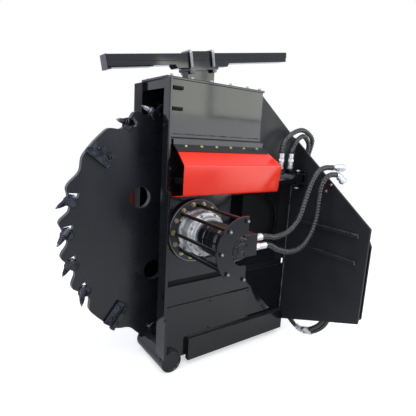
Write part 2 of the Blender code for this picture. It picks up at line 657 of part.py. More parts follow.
# ---- top spring --------------------------------------------------------------------------------
def build_spring():
    """A leaf spring clamped across the lid by two U-bolts, on a short post."""
    centre_y = SPRING_CENTRE.y
    half = LEAF_HALF_WIDTH
    top_leaf, low_leaf = 0.028, 0.018
    sheet("spring_main_leaf", [[(-0.456, -top_leaf), (0.545, -top_leaf), (0.545, 0), (-0.456, 0)]],
          "Y", -half, half, BLACK, SPRING)
    first = -top_leaf - GAP
    steps = [(-0.456, first), (-0.456, first - low_leaf), (-0.150, first - low_leaf),
             (-0.140, first - 0.033), (0.140, first - 0.033), (0.150, first - low_leaf),
             (0.540, first - low_leaf), (0.540, first)]
    sheet("spring_lower_leaf", [steps], "Y", -half, half, BLACK, SPRING)

    clamp_top = first - 0.033 - GAP
    leg, bolt_radius = half + 0.0095, 0.007
    holes = [circle((x, y), bolt_radius + 0.0006, 16) for x in (-0.070, 0.050) for y in (-leg, leg)]
    clamp = sheet("clamp_plate", [[(-0.087, -0.050), (0.067, -0.050), (0.067, 0.050),
                                   (-0.087, 0.050)], *holes],
                  "Z", clamp_top - 0.012, clamp_top, BLACK, SPRING)
    post = sheet("spring_post", [[(-0.100, LID_Z + 0.010 + GAP), (0.045, LID_Z + 0.010 + GAP),
                                  (0.045, 1.447), (-0.100, 1.422)]],
                 "Y", centre_y - 0.025, centre_y + 0.025, BLACK)
    combine(post, [clamp], "UNION")

    for name, x in (("u_bolt_front", -0.070), ("u_bolt_rear", 0.050)):
        foot = clamp_top - 0.022
        crown = bolt_radius + 0.0006
        bend = [(x, y, z + crown - 0.009) for y, z in arc((leg - 0.009, 0.0), 0.009, 0, pi / 2, 6)]
        other = [(x, -y, z) for _, y, z in reversed(bend)]
        tube(name, [(x, leg, foot), *bend, *other, (x, -leg, foot)], bolt_radius, ZINC, SPRING)


build_side_plates()
build_lid()
build_base()
build_wings()
build_rails()
build_cover()
build_cylinder()
build_rod()
build_carriage()
build_motor()
build_guard()
build_disc()
build_picks()
build_side_cutters()
build_hoses()
build_spring()
bpy.context.view_layer.update()
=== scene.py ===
# %% [markdown]
# # Stump grinder for a compact loader
# A heavy toothed disc hangs on a hydraulic motor. A cylinder slides the motor along a slot in a welded box,
# and two wings behind the box take the loader's quick-attach plate.
# The solids of every part come ready from the frame, at their real size. This lesson gives them their finish:
# rounded plate edges, weld beads, bolts, wrapped hoses, enamel, zinc and cast iron.
# -X is the cutting end and +X the loader's. The near side, with the motor, is -Y.

# %% Load the frame
import json
from math import cos, pi, radians, sin, tan

import bmesh
import bpy
from mathutils import Matrix, Vector


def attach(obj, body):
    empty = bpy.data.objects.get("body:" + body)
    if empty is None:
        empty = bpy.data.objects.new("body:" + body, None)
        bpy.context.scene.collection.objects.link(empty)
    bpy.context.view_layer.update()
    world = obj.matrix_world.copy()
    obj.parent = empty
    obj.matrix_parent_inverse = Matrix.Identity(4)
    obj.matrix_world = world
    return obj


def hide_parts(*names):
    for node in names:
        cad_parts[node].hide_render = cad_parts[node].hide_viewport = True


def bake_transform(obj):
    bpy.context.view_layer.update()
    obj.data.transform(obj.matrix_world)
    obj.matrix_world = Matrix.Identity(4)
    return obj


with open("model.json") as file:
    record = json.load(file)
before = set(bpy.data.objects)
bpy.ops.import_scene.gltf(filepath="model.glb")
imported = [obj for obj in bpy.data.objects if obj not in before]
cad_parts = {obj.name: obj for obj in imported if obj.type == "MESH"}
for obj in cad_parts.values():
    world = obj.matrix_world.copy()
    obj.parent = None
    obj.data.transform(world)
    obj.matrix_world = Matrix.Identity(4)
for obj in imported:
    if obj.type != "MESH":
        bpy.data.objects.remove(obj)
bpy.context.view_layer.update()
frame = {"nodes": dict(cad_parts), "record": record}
body_of = {node: body for body, nodes in frame["record"]["behaviour"]["bodies"].items() for node in nodes}

# %% [markdown]
# ## Camera
# The machine is seen from its front left corner, a little above the middle of the box, so one view takes in the
# disc, the motor side and the near wing. A longer lens further away would flatten the wing against the box; this
# one is close to a normal lens, which keeps the depth between them.

# %% Camera
camera = bpy.data.objects.new("camera", bpy.data.cameras.new("camera"))
camera.location = (-1.0184, -1.5162, 1.1280)
camera.rotation_euler = (radians(79.263), radians(-3.239), radians(-35.629))
camera.data.lens = 31.716
camera.data.sensor_width = 36.0
bpy.context.scene.collection.objects.link(camera)
bpy.context.scene.camera = camera
bpy.context.scene.view_settings.view_transform = "Standard"
print("camera at", tuple(camera.location))

# %% [markdown]
# ## Colours and nodes
# Colours are written as sRGB hex, the way a paint chart gives them, and one function turns them into the linear
# numbers that a shader takes. Nodes could be added and linked by hand, four lines each; one small function does
# it in one, so a material reads as a list of what it is made of.

# %% Colour and node helpers
MM = 0.001


def srgb(code):
    """A hex colour as linear red, green, blue and alpha."""
    channels = [int(code[i:i + 2], 16) / 255 for i in (1, 3, 5)]
    return [*(c / 12.92 if c <= 0.04045 else ((c + 0.055) / 1.055) ** 2.4 for c in channels), 1.0]


def add_node(tree, kind, inputs=None, **settings):
    """Add a node; an input is either a plain value or another node's output."""
    made = tree.nodes.new(kind)
    for name, value in settings.items():
        setattr(made, name, value)
    for key, value in (inputs or {}).items():
        if isinstance(value, bpy.types.NodeSocket):
            tree.links.new(value, made.inputs[key])
        else:
            made.inputs[key].default_value = value
    return made


def start_material(name, **surface):
    """A material with its uniform values set on the shader's own sockets."""
    material = bpy.data.materials.new(name)
    material.use_nodes = True
    tree = material.node_tree
    shader = tree.nodes["Principled BSDF"]
    for key, value in surface.items():
        shader.inputs[key.replace("_", " ")].default_value = value
    place = add_node(tree, "ShaderNodeTexCoord").outputs["Object"]
    return material, tree, shader, place


def finish_material(tree, shader, colour, rough, relief):
    """Link what varies over the surface to the shader."""
    for key, socket in (("Base Color", colour), ("Roughness", rough), ("Normal", relief)):
        tree.links.new(socket, shader.inputs[key])


print("the enamel's black #0F1014 is", [round(c, 4) for c in srgb("#0F1014")])

# %% [markdown]
# ## Enamel
# The frame is hot-rolled steel plate sprayed with enamel. Sprayed enamel dries with a slight orange peel, about
# 2 mm across, and thick plate is never quite flat, which bends its reflections over 200 mm or so. Workshop dust
# settles on faces that look up and dulls them. All this could be sculpted into each mesh, but two bump patterns
# and a mask on the way a face looks serve every plate at once. The peel is drawn 5 mm across and the dust specks
# 9 mm, coarser than life, because the real ones are too fine to show. The box is gloss. A lighter satin copy on
# the wings, the attach plates and the near plate's upper rear is partly the wings' duller finish and partly
# painted light; a darker matt copy is painted shade on the far front edge, the near plate's rear edge, the rails
# and the lugs.

# %% Enamel materials
CLOUD, SPECK, PEEL, WAVE = 140 * MM, 9 * MM, 5 * MM, 210 * MM
PEEL_DEPTH, WAVE_DEPTH = 0.08 * MM, 0.5 * MM
DUST_STARTS, DUST_FULL = 0.55, 0.95  # the upward part of the normal
DUST_ROUGHENS = 0.35


def enamel(name, paint, dust, gloss, dull, dust_share=0.6, index=1.5):
    """Sprayed enamel: two paint tones, orange peel, slow waves in the plate and dust on top faces."""
    material, tree, shader, place = start_material(name, Metallic=0.0, IOR=index)
    cloudy = add_node(tree, "ShaderNodeTexNoise", {"Vector": place, "Scale": 1 / CLOUD, "Detail": 3.0})
    speck = add_node(tree, "ShaderNodeTexNoise", {"Vector": place, "Scale": 1 / SPECK, "Detail": 4.0})
    tone = add_node(tree, "ShaderNodeMix", {0: cloudy.outputs["Fac"], 6: srgb(paint[0]), 7: srgb(paint[1])},
                    data_type="RGBA")
    normal = add_node(tree, "ShaderNodeNewGeometry").outputs["Normal"]
    facing = add_node(tree, "ShaderNodeSeparateXYZ", {0: normal})
    upward = add_node(tree, "ShaderNodeMapRange", {"Value": facing.outputs["Z"], "From Min": DUST_STARTS,
                                                   "From Max": DUST_FULL, "To Min": 0.0, "To Max": dust_share})
    settled = add_node(tree, "ShaderNodeMath", {0: upward.outputs[0], 1: speck.outputs["Fac"]},
                       operation="MULTIPLY")
    colour = add_node(tree, "ShaderNodeMix", {0: settled.outputs[0], 6: tone.outputs[2], 7: srgb(dust)},
                      data_type="RGBA")
    sheen = add_node(tree, "ShaderNodeMapRange", {"Value": cloudy.outputs["Fac"], "From Min": 0.3,
                                                  "From Max": 0.7, "To Min": gloss, "To Max": dull})
    rough = add_node(tree, "ShaderNodeMath", {0: settled.outputs[0], 1: DUST_ROUGHENS, 2: sheen.outputs[0]},
                     operation="MULTIPLY_ADD")
    peel = add_node(tree, "ShaderNodeTexNoise", {"Vector": place, "Scale": 1 / PEEL, "Detail": 1.0})
    wave = add_node(tree, "ShaderNodeTexNoise", {"Vector": place, "Scale": 1 / WAVE, "Detail": 0.0})
    waved = add_node(tree, "ShaderNodeBump", {"Height": wave.outputs["Fac"], "Strength": 1.0,
                                              "Distance": WAVE_DEPTH})
    peeled = add_node(tree, "ShaderNodeBump", {"Height": peel.outputs["Fac"], "Strength": 0.35,
                                               "Distance": PEEL_DEPTH, "Normal": waved.outputs[0]})
    finish_material(tree, shader, colour.outputs[2], rough.outputs[0], peeled.outputs[0])
    return material


black_enamel = enamel("black_enamel_on_steel_plate", ("#0F1014", "#15171B"), "#5A5A57", 0.06, 0.15)
red_enamel = enamel("red_enamel_on_folded_sheet", ("#E2210D", "#EE3214"), "#C0685E", 0.16, 0.26, 0.10)
disc_enamel = enamel("black_enamel_on_disc_plate", ("#121318", "#181A1F"), "#4C4C4A", 0.22, 0.36)
# A lighter, rougher copy of the black enamel: partly the wings' satin finish, partly painted light.
lit_satin_enamel = enamel("satin_black_enamel_lighter_as_painted_light", ("#1D1E21", "#25272B"), "#4C4C4A", 0.36, 0.50, 0.6, 1.34)
# A darker, matt copy of the black enamel with weaker reflections: painted shade.
painted_shade_enamel = enamel("matt_black_enamel_as_painted_shade", ("#0E0F11", "#17181A"), "#3A3A38", 0.50, 0.70, 0.4, 1.3)
print("enamels:", black_enamel.name, red_enamel.name, disc_enamel.name, lit_satin_enamel.name, painted_shade_enamel.name)

# %% [markdown]
# ## Metals
# Zinc plating is a thin crystalline coat: bright bluish on hose fittings, yellow where it is passivated on bolts.
# Picks are forged and oil-quenched, so they are dark with a scaly bloom, and their carbide tips are bare.
# The gearbox is sand-cast iron under silver paint. Turned steel is dark with oil and glints along its fine marks,
# and a ground, hard-chromed rod is close to a mirror. The bright weld metal is a painted highlight: its light tone
# stands in for the glints along the beads. Each could have nodes of its own, but on all of them the tone, the gloss
# and the relief follow one grain, so one function makes them and the numbers tell them apart.
# Zinc crystals and turning marks are well under 1 mm and casting grain is about 1 mm: they are drawn at 1 to 3 mm
# so that they show. Forging scale flakes off in 4 mm patches, as drawn.

# %% Metal materials
HANDLING = 35 * MM  # patches where hands and oil have dulled the metal


def plated(name, tones, gloss, dull, grain_mm, bump_mm, metallic=1.0):
    """A metal whose two tones, roughness and relief follow one grain."""
    material, tree, shader, place = start_material(name, Metallic=metallic)
    grain = add_node(tree, "ShaderNodeTexNoise", {"Vector": place, "Scale": 1 / (grain_mm * MM), "Detail": 4.0})
    patch = add_node(tree, "ShaderNodeTexNoise", {"Vector": place, "Scale": 1 / HANDLING, "Detail": 2.0})
    both = add_node(tree, "ShaderNodeMath", {0: grain.outputs["Fac"], 1: patch.outputs["Fac"]}, operation="ADD")
    share = add_node(tree, "ShaderNodeMapRange", {"Value": both.outputs[0], "From Min": 0.75, "From Max": 1.25})
    colour = add_node(tree, "ShaderNodeMix", {0: share.outputs[0], 6: srgb(tones[0]), 7: srgb(tones[1])},
                      data_type="RGBA")
    rough = add_node(tree, "ShaderNodeMapRange", {"Value": share.outputs[0], "To Min": gloss, "To Max": dull})
    relief = add_node(tree, "ShaderNodeBump", {"Height": grain.outputs["Fac"], "Strength": 0.5,
                                               "Distance": bump_mm * MM})
    finish_material(tree, shader, colour.outputs[2], rough.outputs[0], relief.outputs[0])
    return material


bright_zinc = plated("bright_zinc_plate", ("#C9CCD0", "#E6E8EA"), 0.22, 0.38, 3.0, 0.05)
yellow_zinc = plated("yellow_passivated_zinc", ("#A3936B", "#C6BC9C"), 0.30, 0.46, 2.0, 0.05)
dull_zinc = plated("weathered_zinc_plate", ("#84868A", "#A5A7AA"), 0.34, 0.52, 3.0, 0.08)
fresh_steel = plated("bright_turned_alloy_steel", ("#8C8F98", "#B2B5BE"), 0.30, 0.42, 2.0, 0.10)
silver_casting = plated("silver_painted_sand_casting", ("#A9ACAD", "#CFD1D1"), 0.34, 0.5, 2.5, 0.35, 0.55)
dark_casting = plated("grey_painted_flange", ("#2A2C2F", "#3C3E41"), 0.34, 0.5, 3.0, 0.2, 0.3)
forged_steel = plated("oil_quenched_forged_steel", ("#1F2025", "#50525A"), 0.24, 0.44, 4.0, 0.25)
carbide = plated("sintered_carbide_tip", ("#55575E", "#83868F"), 0.25, 0.4, 1.5, 0.05)
turned_steel = plated("turned_steel", ("#3A3B3D", "#5B5C5E"), 0.22, 0.36, 1.2, 0.05)
# A bright metal for some weld beads: a painted highlight standing for their glints.
weld_highlight_metal = plated("bright_weld_metal_as_painted_highlight", ("#26272A", "#77797D"), 0.22, 0.36, 3.0, 0.2, 0.8)
chromed_rod = plated("hard_chrome_on_ground_rod", ("#C9CBCE", "#DADCDE"), 0.05, 0.10, 1.0, 0.01)
print("metals:", bright_zinc.name, yellow_zinc.name, silver_casting.name, forged_steel.name)

# %% [markdown]
# ## Hose guard
# The hoses wear a spiral guard: a flat black polyethylene strip wound round the rubber, moulded smooth, so each
# turn carries its own small highlight. The groove between turns could be a bump as well, but it is deep enough to
# show in the outline, so it is made as shape later on. The material adds scuffs and fine drawing lines along the
# strip, 1 mm apart in life and drawn at 2 mm.

# %% Hose material
SCUFF, DRAWING_LINE = 12 * MM, 2 * MM


def moulded_plastic(name, tones, gloss, dull):
    """Extruded polyethylene with scuffs."""
    material, tree, shader, place = start_material(name, Metallic=0.0, IOR=1.51)
    scuff = add_node(tree, "ShaderNodeTexNoise", {"Vector": place, "Scale": 1 / SCUFF, "Detail": 5.0})
    lines = add_node(tree, "ShaderNodeTexNoise", {"Vector": place, "Scale": 1 / DRAWING_LINE, "Detail": 2.0})
    share = add_node(tree, "ShaderNodeMapRange", {"Value": scuff.outputs["Fac"], "From Min": 0.4, "From Max": 0.7})
    colour = add_node(tree, "ShaderNodeMix", {0: share.outputs[0], 6: srgb(tones[0]), 7: srgb(tones[1])},
                      data_type="RGBA")
    rough = add_node(tree, "ShaderNodeMapRange", {"Value": share.outputs[0], "To Min": gloss, "To Max": dull})
    relief = add_node(tree, "ShaderNodeBump", {"Height": lines.outputs["Fac"], "Strength": 0.4,
                                               "Distance": 0.1 * MM})
    finish_material(tree, shader, colour.outputs[2], rough.outputs[0], relief.outputs[0])
    return material


hose_guard = moulded_plastic("extruded_polyethylene_guard", ("#1C1D1F", "#3A3B3D"), 0.24, 0.42)
print("hose guard:", hose_guard.name)

# %% [markdown]
# ## Putting a piece in the scene
# Every shape here is gathered in a bmesh, which is quick to add to, and becomes an object at the end. One function
# does that last step for all: it rounds the edges, lets the piece ride on the body it belongs to, and hides the
# frame's parts that it stands for. Smooth shading alone would tilt the light across a wide flat face, so the bevel
# is followed by weighted normals, which keep the face flat and round only its edge.

# %% Put a piece in the scene
ROUNDED_PAST, SHARP_PAST = radians(34), radians(35)
LOOKS = bpy.data.collections.new("looks")
bpy.context.scene.collection.children.link(LOOKS)


def piece(name, bm, materials, body, stands_for=(), edge=0.0):
    """Put a gathered mesh in the scene with rounded edges, riding on a body if one is given."""
    materials = materials if isinstance(materials, list) else [materials]
    mesh = bpy.data.meshes.new(name)
    bm.normal_update()
    bm.to_mesh(mesh)
    bm.free()
    for material in materials:
        mesh.materials.append(material)
    mesh.shade_smooth()
    obj = bpy.data.objects.new(name, mesh)
    LOOKS.objects.link(obj)
    if edge:
        rounding = obj.modifiers.new("rounding", "BEVEL")
        rounding.width = edge
        rounding.segments = 2
        rounding.limit_method = "ANGLE"
        rounding.angle_limit = ROUNDED_PAST
        flat_faces = obj.modifiers.new("flat_faces", "WEIGHTED_NORMAL")
        flat_faces.weight = 100
    else:
        mesh.set_sharp_from_angle(angle=SHARP_PAST)
    if body:
        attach(obj, body)
    if stands_for:
        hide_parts(*stands_for)
    print(f"{name}: {len(mesh.polygons)} faces")
    return obj


# %% [markdown]
# ## Side plates
# Flame-cut and sheared plate keeps a small radius along every edge, and that radius is what catches the light.
# A plate could be drawn again from its outline, but its own solid is already right: it is copied from the frame,
# its triangles are joined back into whole faces, and a bevel rounds the edges.
# The side plates wear more than one enamel. The near plate is gloss in front; its upper rear, beside the wing,
# takes the lighter satin copy as painted light, and its rear edge the darker matt copy as painted shade. The far
# plate's front edge takes the darker copy too, as painted shade. Faces can name different materials, so the near
# plate is first cut along the lines where its enamel changes.

# %% Side plates
HEAVY_EDGE, SHEET_EDGE = 1.5 * MM, 0.8 * MM
# Where the near plate takes the lighter copy as painted light and the darker copy as painted shade.
PAINTED_LIGHT_FROM_X, PAINTED_SHADE_FROM_X, PAINTED_LIGHT_FROM_Z = 0.313, 0.500, 1.0
GLOSS_FACE, PAINTED_LIGHT_FACE, PAINTED_SHADE_FACE = 0, 1, 2


def dress(node, material, edge):
    """The node's own solid with its edges rounded."""
    bm = bmesh.new()
    bm.from_mesh(frame["nodes"][node].data)
    bmesh.ops.remove_doubles(bm, verts=bm.verts, dist=0.00001)
    bmesh.ops.dissolve_limit(bm, angle_limit=radians(0.5), verts=bm.verts, edges=bm.edges)
    return piece(f"{node}_finish", bm, material, body_of[node], [node], edge)


far_plate = dress("far_side_plate", black_enamel, HEAVY_EDGE)
# The far plate's front face takes the darker copy: painted shade.
far_plate.data.materials.append(painted_shade_enamel)
for face in far_plate.data.polygons:
    face.material_index = int(face.center.x < -0.20 and face.normal.x < -0.5)

near_plate = dress("near_side_plate", black_enamel, HEAVY_EDGE)
for finish in (lit_satin_enamel, painted_shade_enamel):
    near_plate.data.materials.append(finish)
cut = bmesh.new()
cut.from_mesh(near_plate.data)
for at, across in (((PAINTED_LIGHT_FROM_X, 0, 0), (1, 0, 0)), ((PAINTED_SHADE_FROM_X, 0, 0), (1, 0, 0)),
                   ((0, 0, PAINTED_LIGHT_FROM_Z), (0, 0, 1))):
    bmesh.ops.bisect_plane(cut, geom=cut.verts[:] + cut.edges[:] + cut.faces[:], plane_co=at, plane_no=across)
for face in cut.faces:
    x, _, z = face.calc_center_median()
    if x > PAINTED_LIGHT_FROM_X and z > PAINTED_LIGHT_FROM_Z:
        face.material_index = PAINTED_LIGHT_FACE
    else:
        face.material_index = PAINTED_SHADE_FACE if x > PAINTED_SHADE_FROM_X else GLOSS_FACE
cut.to_mesh(near_plate.data)
cut.free()
print("near side plate:", len(near_plate.data.polygons), "faces after the cuts")

# %% [markdown]
# ## Plates, bars and turned parts
# The rest of the frame keeps its solids in the same way, each with its one finish and an edge to suit its
# thickness: 1.5 mm on heavy plate, less on thin sheet and on machined parts. A table of finishes is shorter than
# a call for each, and shows at a glance what is painted and what is bare.

# %% Plates, bars and turned parts
# The satin copy on the wings and attach plates is partly painted light; the matt copy on the rails is painted
# shade.
for finish, edge, nodes in (
        (black_enamel, HEAVY_EDGE, ("near_lower_plate", "near_cover_plate", "cap_plate", "near_front_bar",
                                    "near_runner", "far_runner", "rear_cross_tube", "cylinder_anchor",
                                    "spring_main_leaf", "spring_lower_leaf", "carriage_plate")),
        (lit_satin_enamel, HEAVY_EDGE, ("near_wing", "far_wing", "near_attach_plate", "far_attach_plate")),
        (black_enamel, SHEET_EDGE, ("motor_guard", "spring_post", "cylinder_barrel", "cover_strip")),
        (painted_shade_enamel, 1.0 * MM, ("upper_slide_rail", "lower_slide_rail")),
        (turned_steel, 1.0 * MM, ("wheel_hub", "hub_cap")),
        (dull_zinc, SHEET_EDGE, ("u_bolt_front", "u_bolt_rear")),
        (chromed_rod, SHEET_EDGE, ("cylinder_rod",))):
    for node in nodes:
        dress(node, finish, edge)

# %% [markdown]
# ## Cutting disc
# The disc is flame-cut from 30 mm plate: a scalloped rim with a gullet in front of every pick, a small window
# behind each holder and four lifting holes. Cutting the holes with booleans would work, but a flat filled curve
# gives the whole outline in one go, holes and all; extruding it gives the plate, and a bevel rounds both rims.

# %% Disc plate
WHEEL = Vector((-0.065, 0.030, 0.700))
DISC_HALF = 0.015
QUARTERS = [143 + 90 * q for q in range(4)]  # where the side cutters sit, in degrees
WINDOW_STEP = 14.7
WINDOWS = [angle + (21.5 if q == 3 else 20) + WINDOW_STEP * i for q, angle in enumerate(QUARTERS) for i in range(4)]
RIM, HOLLOW, NICK, GULLET, GULLET_END = 0.584, 0.562, 0.568, 0.546, 0.549
SPINDLE_HOLE, LIFTING_HOLE, LIFTING_AT = 0.0343, 0.050, 0.262


def polar(radius, degrees):
    """A point round the origin, as two numbers."""
    return radius * cos(radians(degrees)), radius * sin(radians(degrees))


def scalloped_rim(step):
    """Rim points from key radii, eased from one to the next."""
    keys = []
    for q, cutter in enumerate(QUARTERS):
        keys += [(cutter + 2, RIM), (cutter + 9, HOLLOW), (cutter + 17, RIM)]
        for window in WINDOWS[4 * q:4 * q + 4]:
            keys += [(window + 0.8, NICK), (window + 2.8, GULLET), (window + 6.2, GULLET_END), (window + 12, RIM)]
    keys.append((keys[0][0] + 360, keys[0][1]))
    points = []
    for (a0, r0), (a1, r1) in zip(keys, keys[1:]):
        count = max(2, round((a1 - a0) / step))
        points += [polar(r0 + (r1 - r0) * (1 - cos(pi * i / count)) / 2, a0 + (a1 - a0) * i / count)
                   for i in range(count)]
    return points


def round_hole(centre, radius, count):
    """A hole's outline."""
    return [(centre[0] + radius * cos(2 * pi * i / count), centre[1] + radius * sin(2 * pi * i / count))
            for i in range(count)]


def cut_plate(name, outlines, thickness):
    """A plate in the XZ plane from closed outlines."""
    curve = bpy.data.curves.new(name, "CURVE")
    curve.dimensions, curve.fill_mode = "2D", "BOTH"
    curve.extrude = thickness / 2
    for outline in outlines:
        spline = curve.splines.new("POLY")
        spline.points.add(len(outline) - 1)
        spline.use_cyclic_u = True
        for point, (x, z) in zip(spline.points, outline):
            point.co = (x, z, 0.0, 1.0)
    flat = bpy.data.objects.new(name, curve)
    LOOKS.objects.link(flat)
    bpy.context.view_layer.update()
    mesh = bpy.data.meshes.new_from_object(flat.evaluated_get(bpy.context.evaluated_depsgraph_get()))
    bpy.data.objects.remove(flat)
    bm = bmesh.new()
    bm.from_mesh(mesh)
    bmesh.ops.remove_doubles(bm, verts=bm.verts, dist=0.00002)
    bmesh.ops.rotate(bm, matrix=Matrix.Rotation(pi / 2, 3, "X"), verts=bm.verts)
    bmesh.ops.recalc_face_normals(bm, faces=bm.faces)
    bmesh.ops.dissolve_limit(bm, angle_limit=radians(0.5), verts=bm.verts, edges=bm.edges)
    return bm


outlines = [scalloped_rim(1.0), round_hole((0, 0), SPINDLE_HOLE, 48)]
outlines += [round_hole(polar(LIFTING_AT, angle + 4), LIFTING_HOLE, 56) for angle in QUARTERS]
outlines += [[polar(0.570, w - 1.0), polar(0.526, w - 2.2), polar(0.527, w + 1.2)] for w in WINDOWS]
disc = cut_plate("disc", outlines, 2 * DISC_HALF)
bmesh.ops.translate(disc, vec=WHEEL, verts=disc.verts)
piece("wheel_disc_plate", disc, disc_enamel, "cutter", ["wheel_disc"], 1.2 * MM)

# %% [markdown]
# ## Turning and sweeping
# Bolts, picks, ferrules and castings are all turned parts, and welds and hoses are all tubes along a path.
# The Screw modifier and bevelled curves make both, one object each. Adding the rings of points straight to a
# bmesh lets many small parts share one piece, so the two helpers here do that.

# %% Turned and swept shapes
UP, REARWARD, NEARWARD = (0, 0, 1), (1, 0, 0), (0, -1, 0)


def turning(at, axis):
    """The matrix that stands something on a point, with its Z along an axis."""
    return Matrix.Translation(at) @ Vector(axis).to_track_quat("Z", "Y").to_matrix().to_4x4()


def lathe(bm, profile, at=(0, 0, 0), axis=UP, sides=48, closed=False):
    """Add a turned solid; its profile runs up the outside as (radius, height)."""
    place = turning(at, axis)
    rows = []
    for radius, height in profile:
        turns = [2 * pi * k / sides for k in range(sides)] if radius > 0 else [0.0]
        rows.append([bm.verts.new(place @ Vector((radius * cos(t), radius * sin(t), height))) for t in turns])
    for low, high in list(zip(rows, rows[1:])) + ([(rows[-1], rows[0])] if closed else []):
        for k in range(sides):
            after = (k + 1) % sides
            corners = [low[k % len(low)], low[after % len(low)], high[after % len(high)], high[k % len(high)]]
            bm.faces.new(list(dict.fromkeys(corners)))


def sweep(bm, path, sides, radius_at):
    """Add a tube along a path; radius_at(turn, distance) gives its radius. Returns the path's length."""
    rings, travelled, side = [], 0.0, Vector((0.13, 0.21, 0.97))
    for i, point in enumerate(path):
        ahead = (path[min(i + 1, len(path) - 1)] - path[max(i - 1, 0)]).normalized()
        side = (side - ahead * side.dot(ahead)).normalized()
        across = ahead.cross(side)
        turns = [2 * pi * k / sides for k in range(sides)]
        rings.append([bm.verts.new(point + radius_at(t, travelled) * (cos(t) * side + sin(t) * across))
                      for t in turns])
        travelled += (path[min(i + 1, len(path) - 1)] - point).length
    for low, high in zip(rings, rings[1:]):
        for k in range(sides):
            after = (k + 1) % sides
            bm.faces.new((low[k], low[after], high[after], high[k]))
    bm.faces.new(rings[0][::-1])
    bm.faces.new(rings[-1])
    return travelled


def hoop(centre, radius, steps, start=0, end=360):
    """Points round a circle, or part of one, that stands in the XZ plane."""
    turns = [radians(start + (end - start) * k / steps) for k in range(steps + 1)]
    return [Vector(centre) + Vector((radius * cos(t), 0, radius * sin(t))) for t in turns]


print("a hoop of 100 mm radius starts at", tuple(round(v, 3) for v in hoop((0, 0, 0), 0.1, 40)[0]))

# %% [markdown]
# ## Pick holders
# Each pick sits in a thick round holder that is welded to the rim, and a clip ring keeps it from falling out at
# the back. The picks lean to the near and the far side in turn, so the disc cuts a slot wider than itself.
# An array round a circle would give sixteen equal holders; a loop over the windows can lean each one its own way.

# %% Pick holders
HOLDER = [(0, -0.025), (0.0170, -0.025), (0.0196, -0.021), (0.0196, 0.007), (0.0172, 0.0102), (0, 0.0102)]
HOLDER_FOOT = [(0, -0.0175), (0.0150, -0.0175), (0.0175, -0.0155), (0.0175, 0.0155), (0.0150, 0.0175), (0, 0.0175)]
CLIP = [(0, -0.034), (0.0085, -0.034), (0.0095, -0.032), (0.0095, -0.029), (0.0130, -0.029), (0.0130, -0.0255),
        (0, -0.0255)]
LEAN = 0.014


def pick_line(index):
    """Base point and direction of a pick."""
    side, window = (-LEAN if index % 2 else LEAN), WINDOWS[index]
    (bx, bz), (tx, tz) = polar(0.557, window + 2.3), polar(0.597, window + 6.8)
    base = WHEEL + Vector((bx, side * 0.4, bz))
    return base, (WHEEL + Vector((tx, side * 1.6, tz)) - base).normalized()


holders, clips, welds = bmesh.new(), bmesh.new(), bmesh.new()
for index, window in enumerate(WINDOWS):
    base, along = pick_line(index)
    lathe(holders, HOLDER, base, along, 28)
    x, z = polar(0.540, window + 2.8)
    foot = WHEEL + Vector((x, 0, z))
    lathe(holders, HOLDER_FOOT, foot, (0, 1, 0), 28)
    lathe(clips, CLIP, base, along, 20)
    for y in (-0.0158, 0.0158):
        sweep(welds, hoop(foot + Vector((0, y, 0)), 0.0185, 40), 6,
              lambda turn, far: 0.0028 * (1 + 0.25 * sin(far / 0.0016)))
piece("pick_holders", holders, forged_steel, "cutter", edge=0.6 * MM)
piece("pick_clips", clips, dull_zinc, "cutter")
piece("holder_welds", welds, disc_enamel, "cutter")

# %% [markdown]
# ## Picks
# A pick is a loose, turned steel bullet with a carbide tip. Most are dark from quenching; two have been changed
# lately and are still bright. One lathe profile serves all sixteen, and the faces past the brazed joint take the
# carbide, so steel and tip stay one mesh.

# %% Picks
PICK = [(0, 0.0108), (0.0150, 0.0108), (0.0155, 0.0135), (0.0150, 0.0165), (0.0118, 0.0185), (0.0125, 0.0215),
        (0.0112, 0.030), (0.0088, 0.042), (0.0072, 0.0475), (0.0062, 0.048), (0.0035, 0.057), (0, 0.0605)]
BRAZED_AT = 0.0478
NEW_PICKS = (8, 14)
for index in range(len(WINDOWS)):
    base, along = pick_line(index)
    turned_pick = bmesh.new()
    lathe(turned_pick, PICK, sides=28)
    for face in turned_pick.faces:
        face.material_index = int(face.calc_center_median().z > BRAZED_AT)
    bmesh.ops.transform(turned_pick, matrix=turning(base, along), verts=turned_pick.verts)
    body_steel = fresh_steel if index in NEW_PICKS else forged_steel
    piece(f"pick_{index + 1:02d}_turned", turned_pick, [body_steel, carbide], "cutter", [f"pick_{index + 1:02d}"])

# %% [markdown]
# ## Side cutters
# Between the rows of picks, a bolted plate with a raised bar clears the side of the cut. The plates keep their
# own solids. Each gets four domed bolts, two on the plate and two on the bar, and a weld along the bar. The bolts
# could be copies of one object; adding them to one mesh keeps the list of pieces short.

# %% Side cutters
BOLTS_ALONG, BOLT_ROWS = (0.492, 0.552), ((-0.0273, -0.036, 0.0095, 0.0075), (-0.0393, -0.003, 0.0070, 0.0055))


def button_bolt(bm, at, axis, radius=0.0075, height=0.005):
    """A low domed head with a socket in its middle."""
    lathe(bm, [(0, 0), (radius, 0), (radius, height * 0.3), (radius * 0.8, height * 0.8), (radius * 0.45, height),
               (radius * 0.42, height * 0.45), (0, height * 0.45)], at, axis, 18)


def bead(bm, start, end, radius=0.003):
    """A weld bead: a thin run of weld with a ripple for every stop of the hand."""
    start, end = Vector(start), Vector(end)
    count = max(4, round((end - start).length / 0.0026))
    sweep(bm, [start.lerp(end, i / count) for i in range(count + 1)], 7,
          lambda turn, far: radius * (1.0 + 0.20 * sin(far / 0.0014) + 0.10 * sin(far / 0.019)))


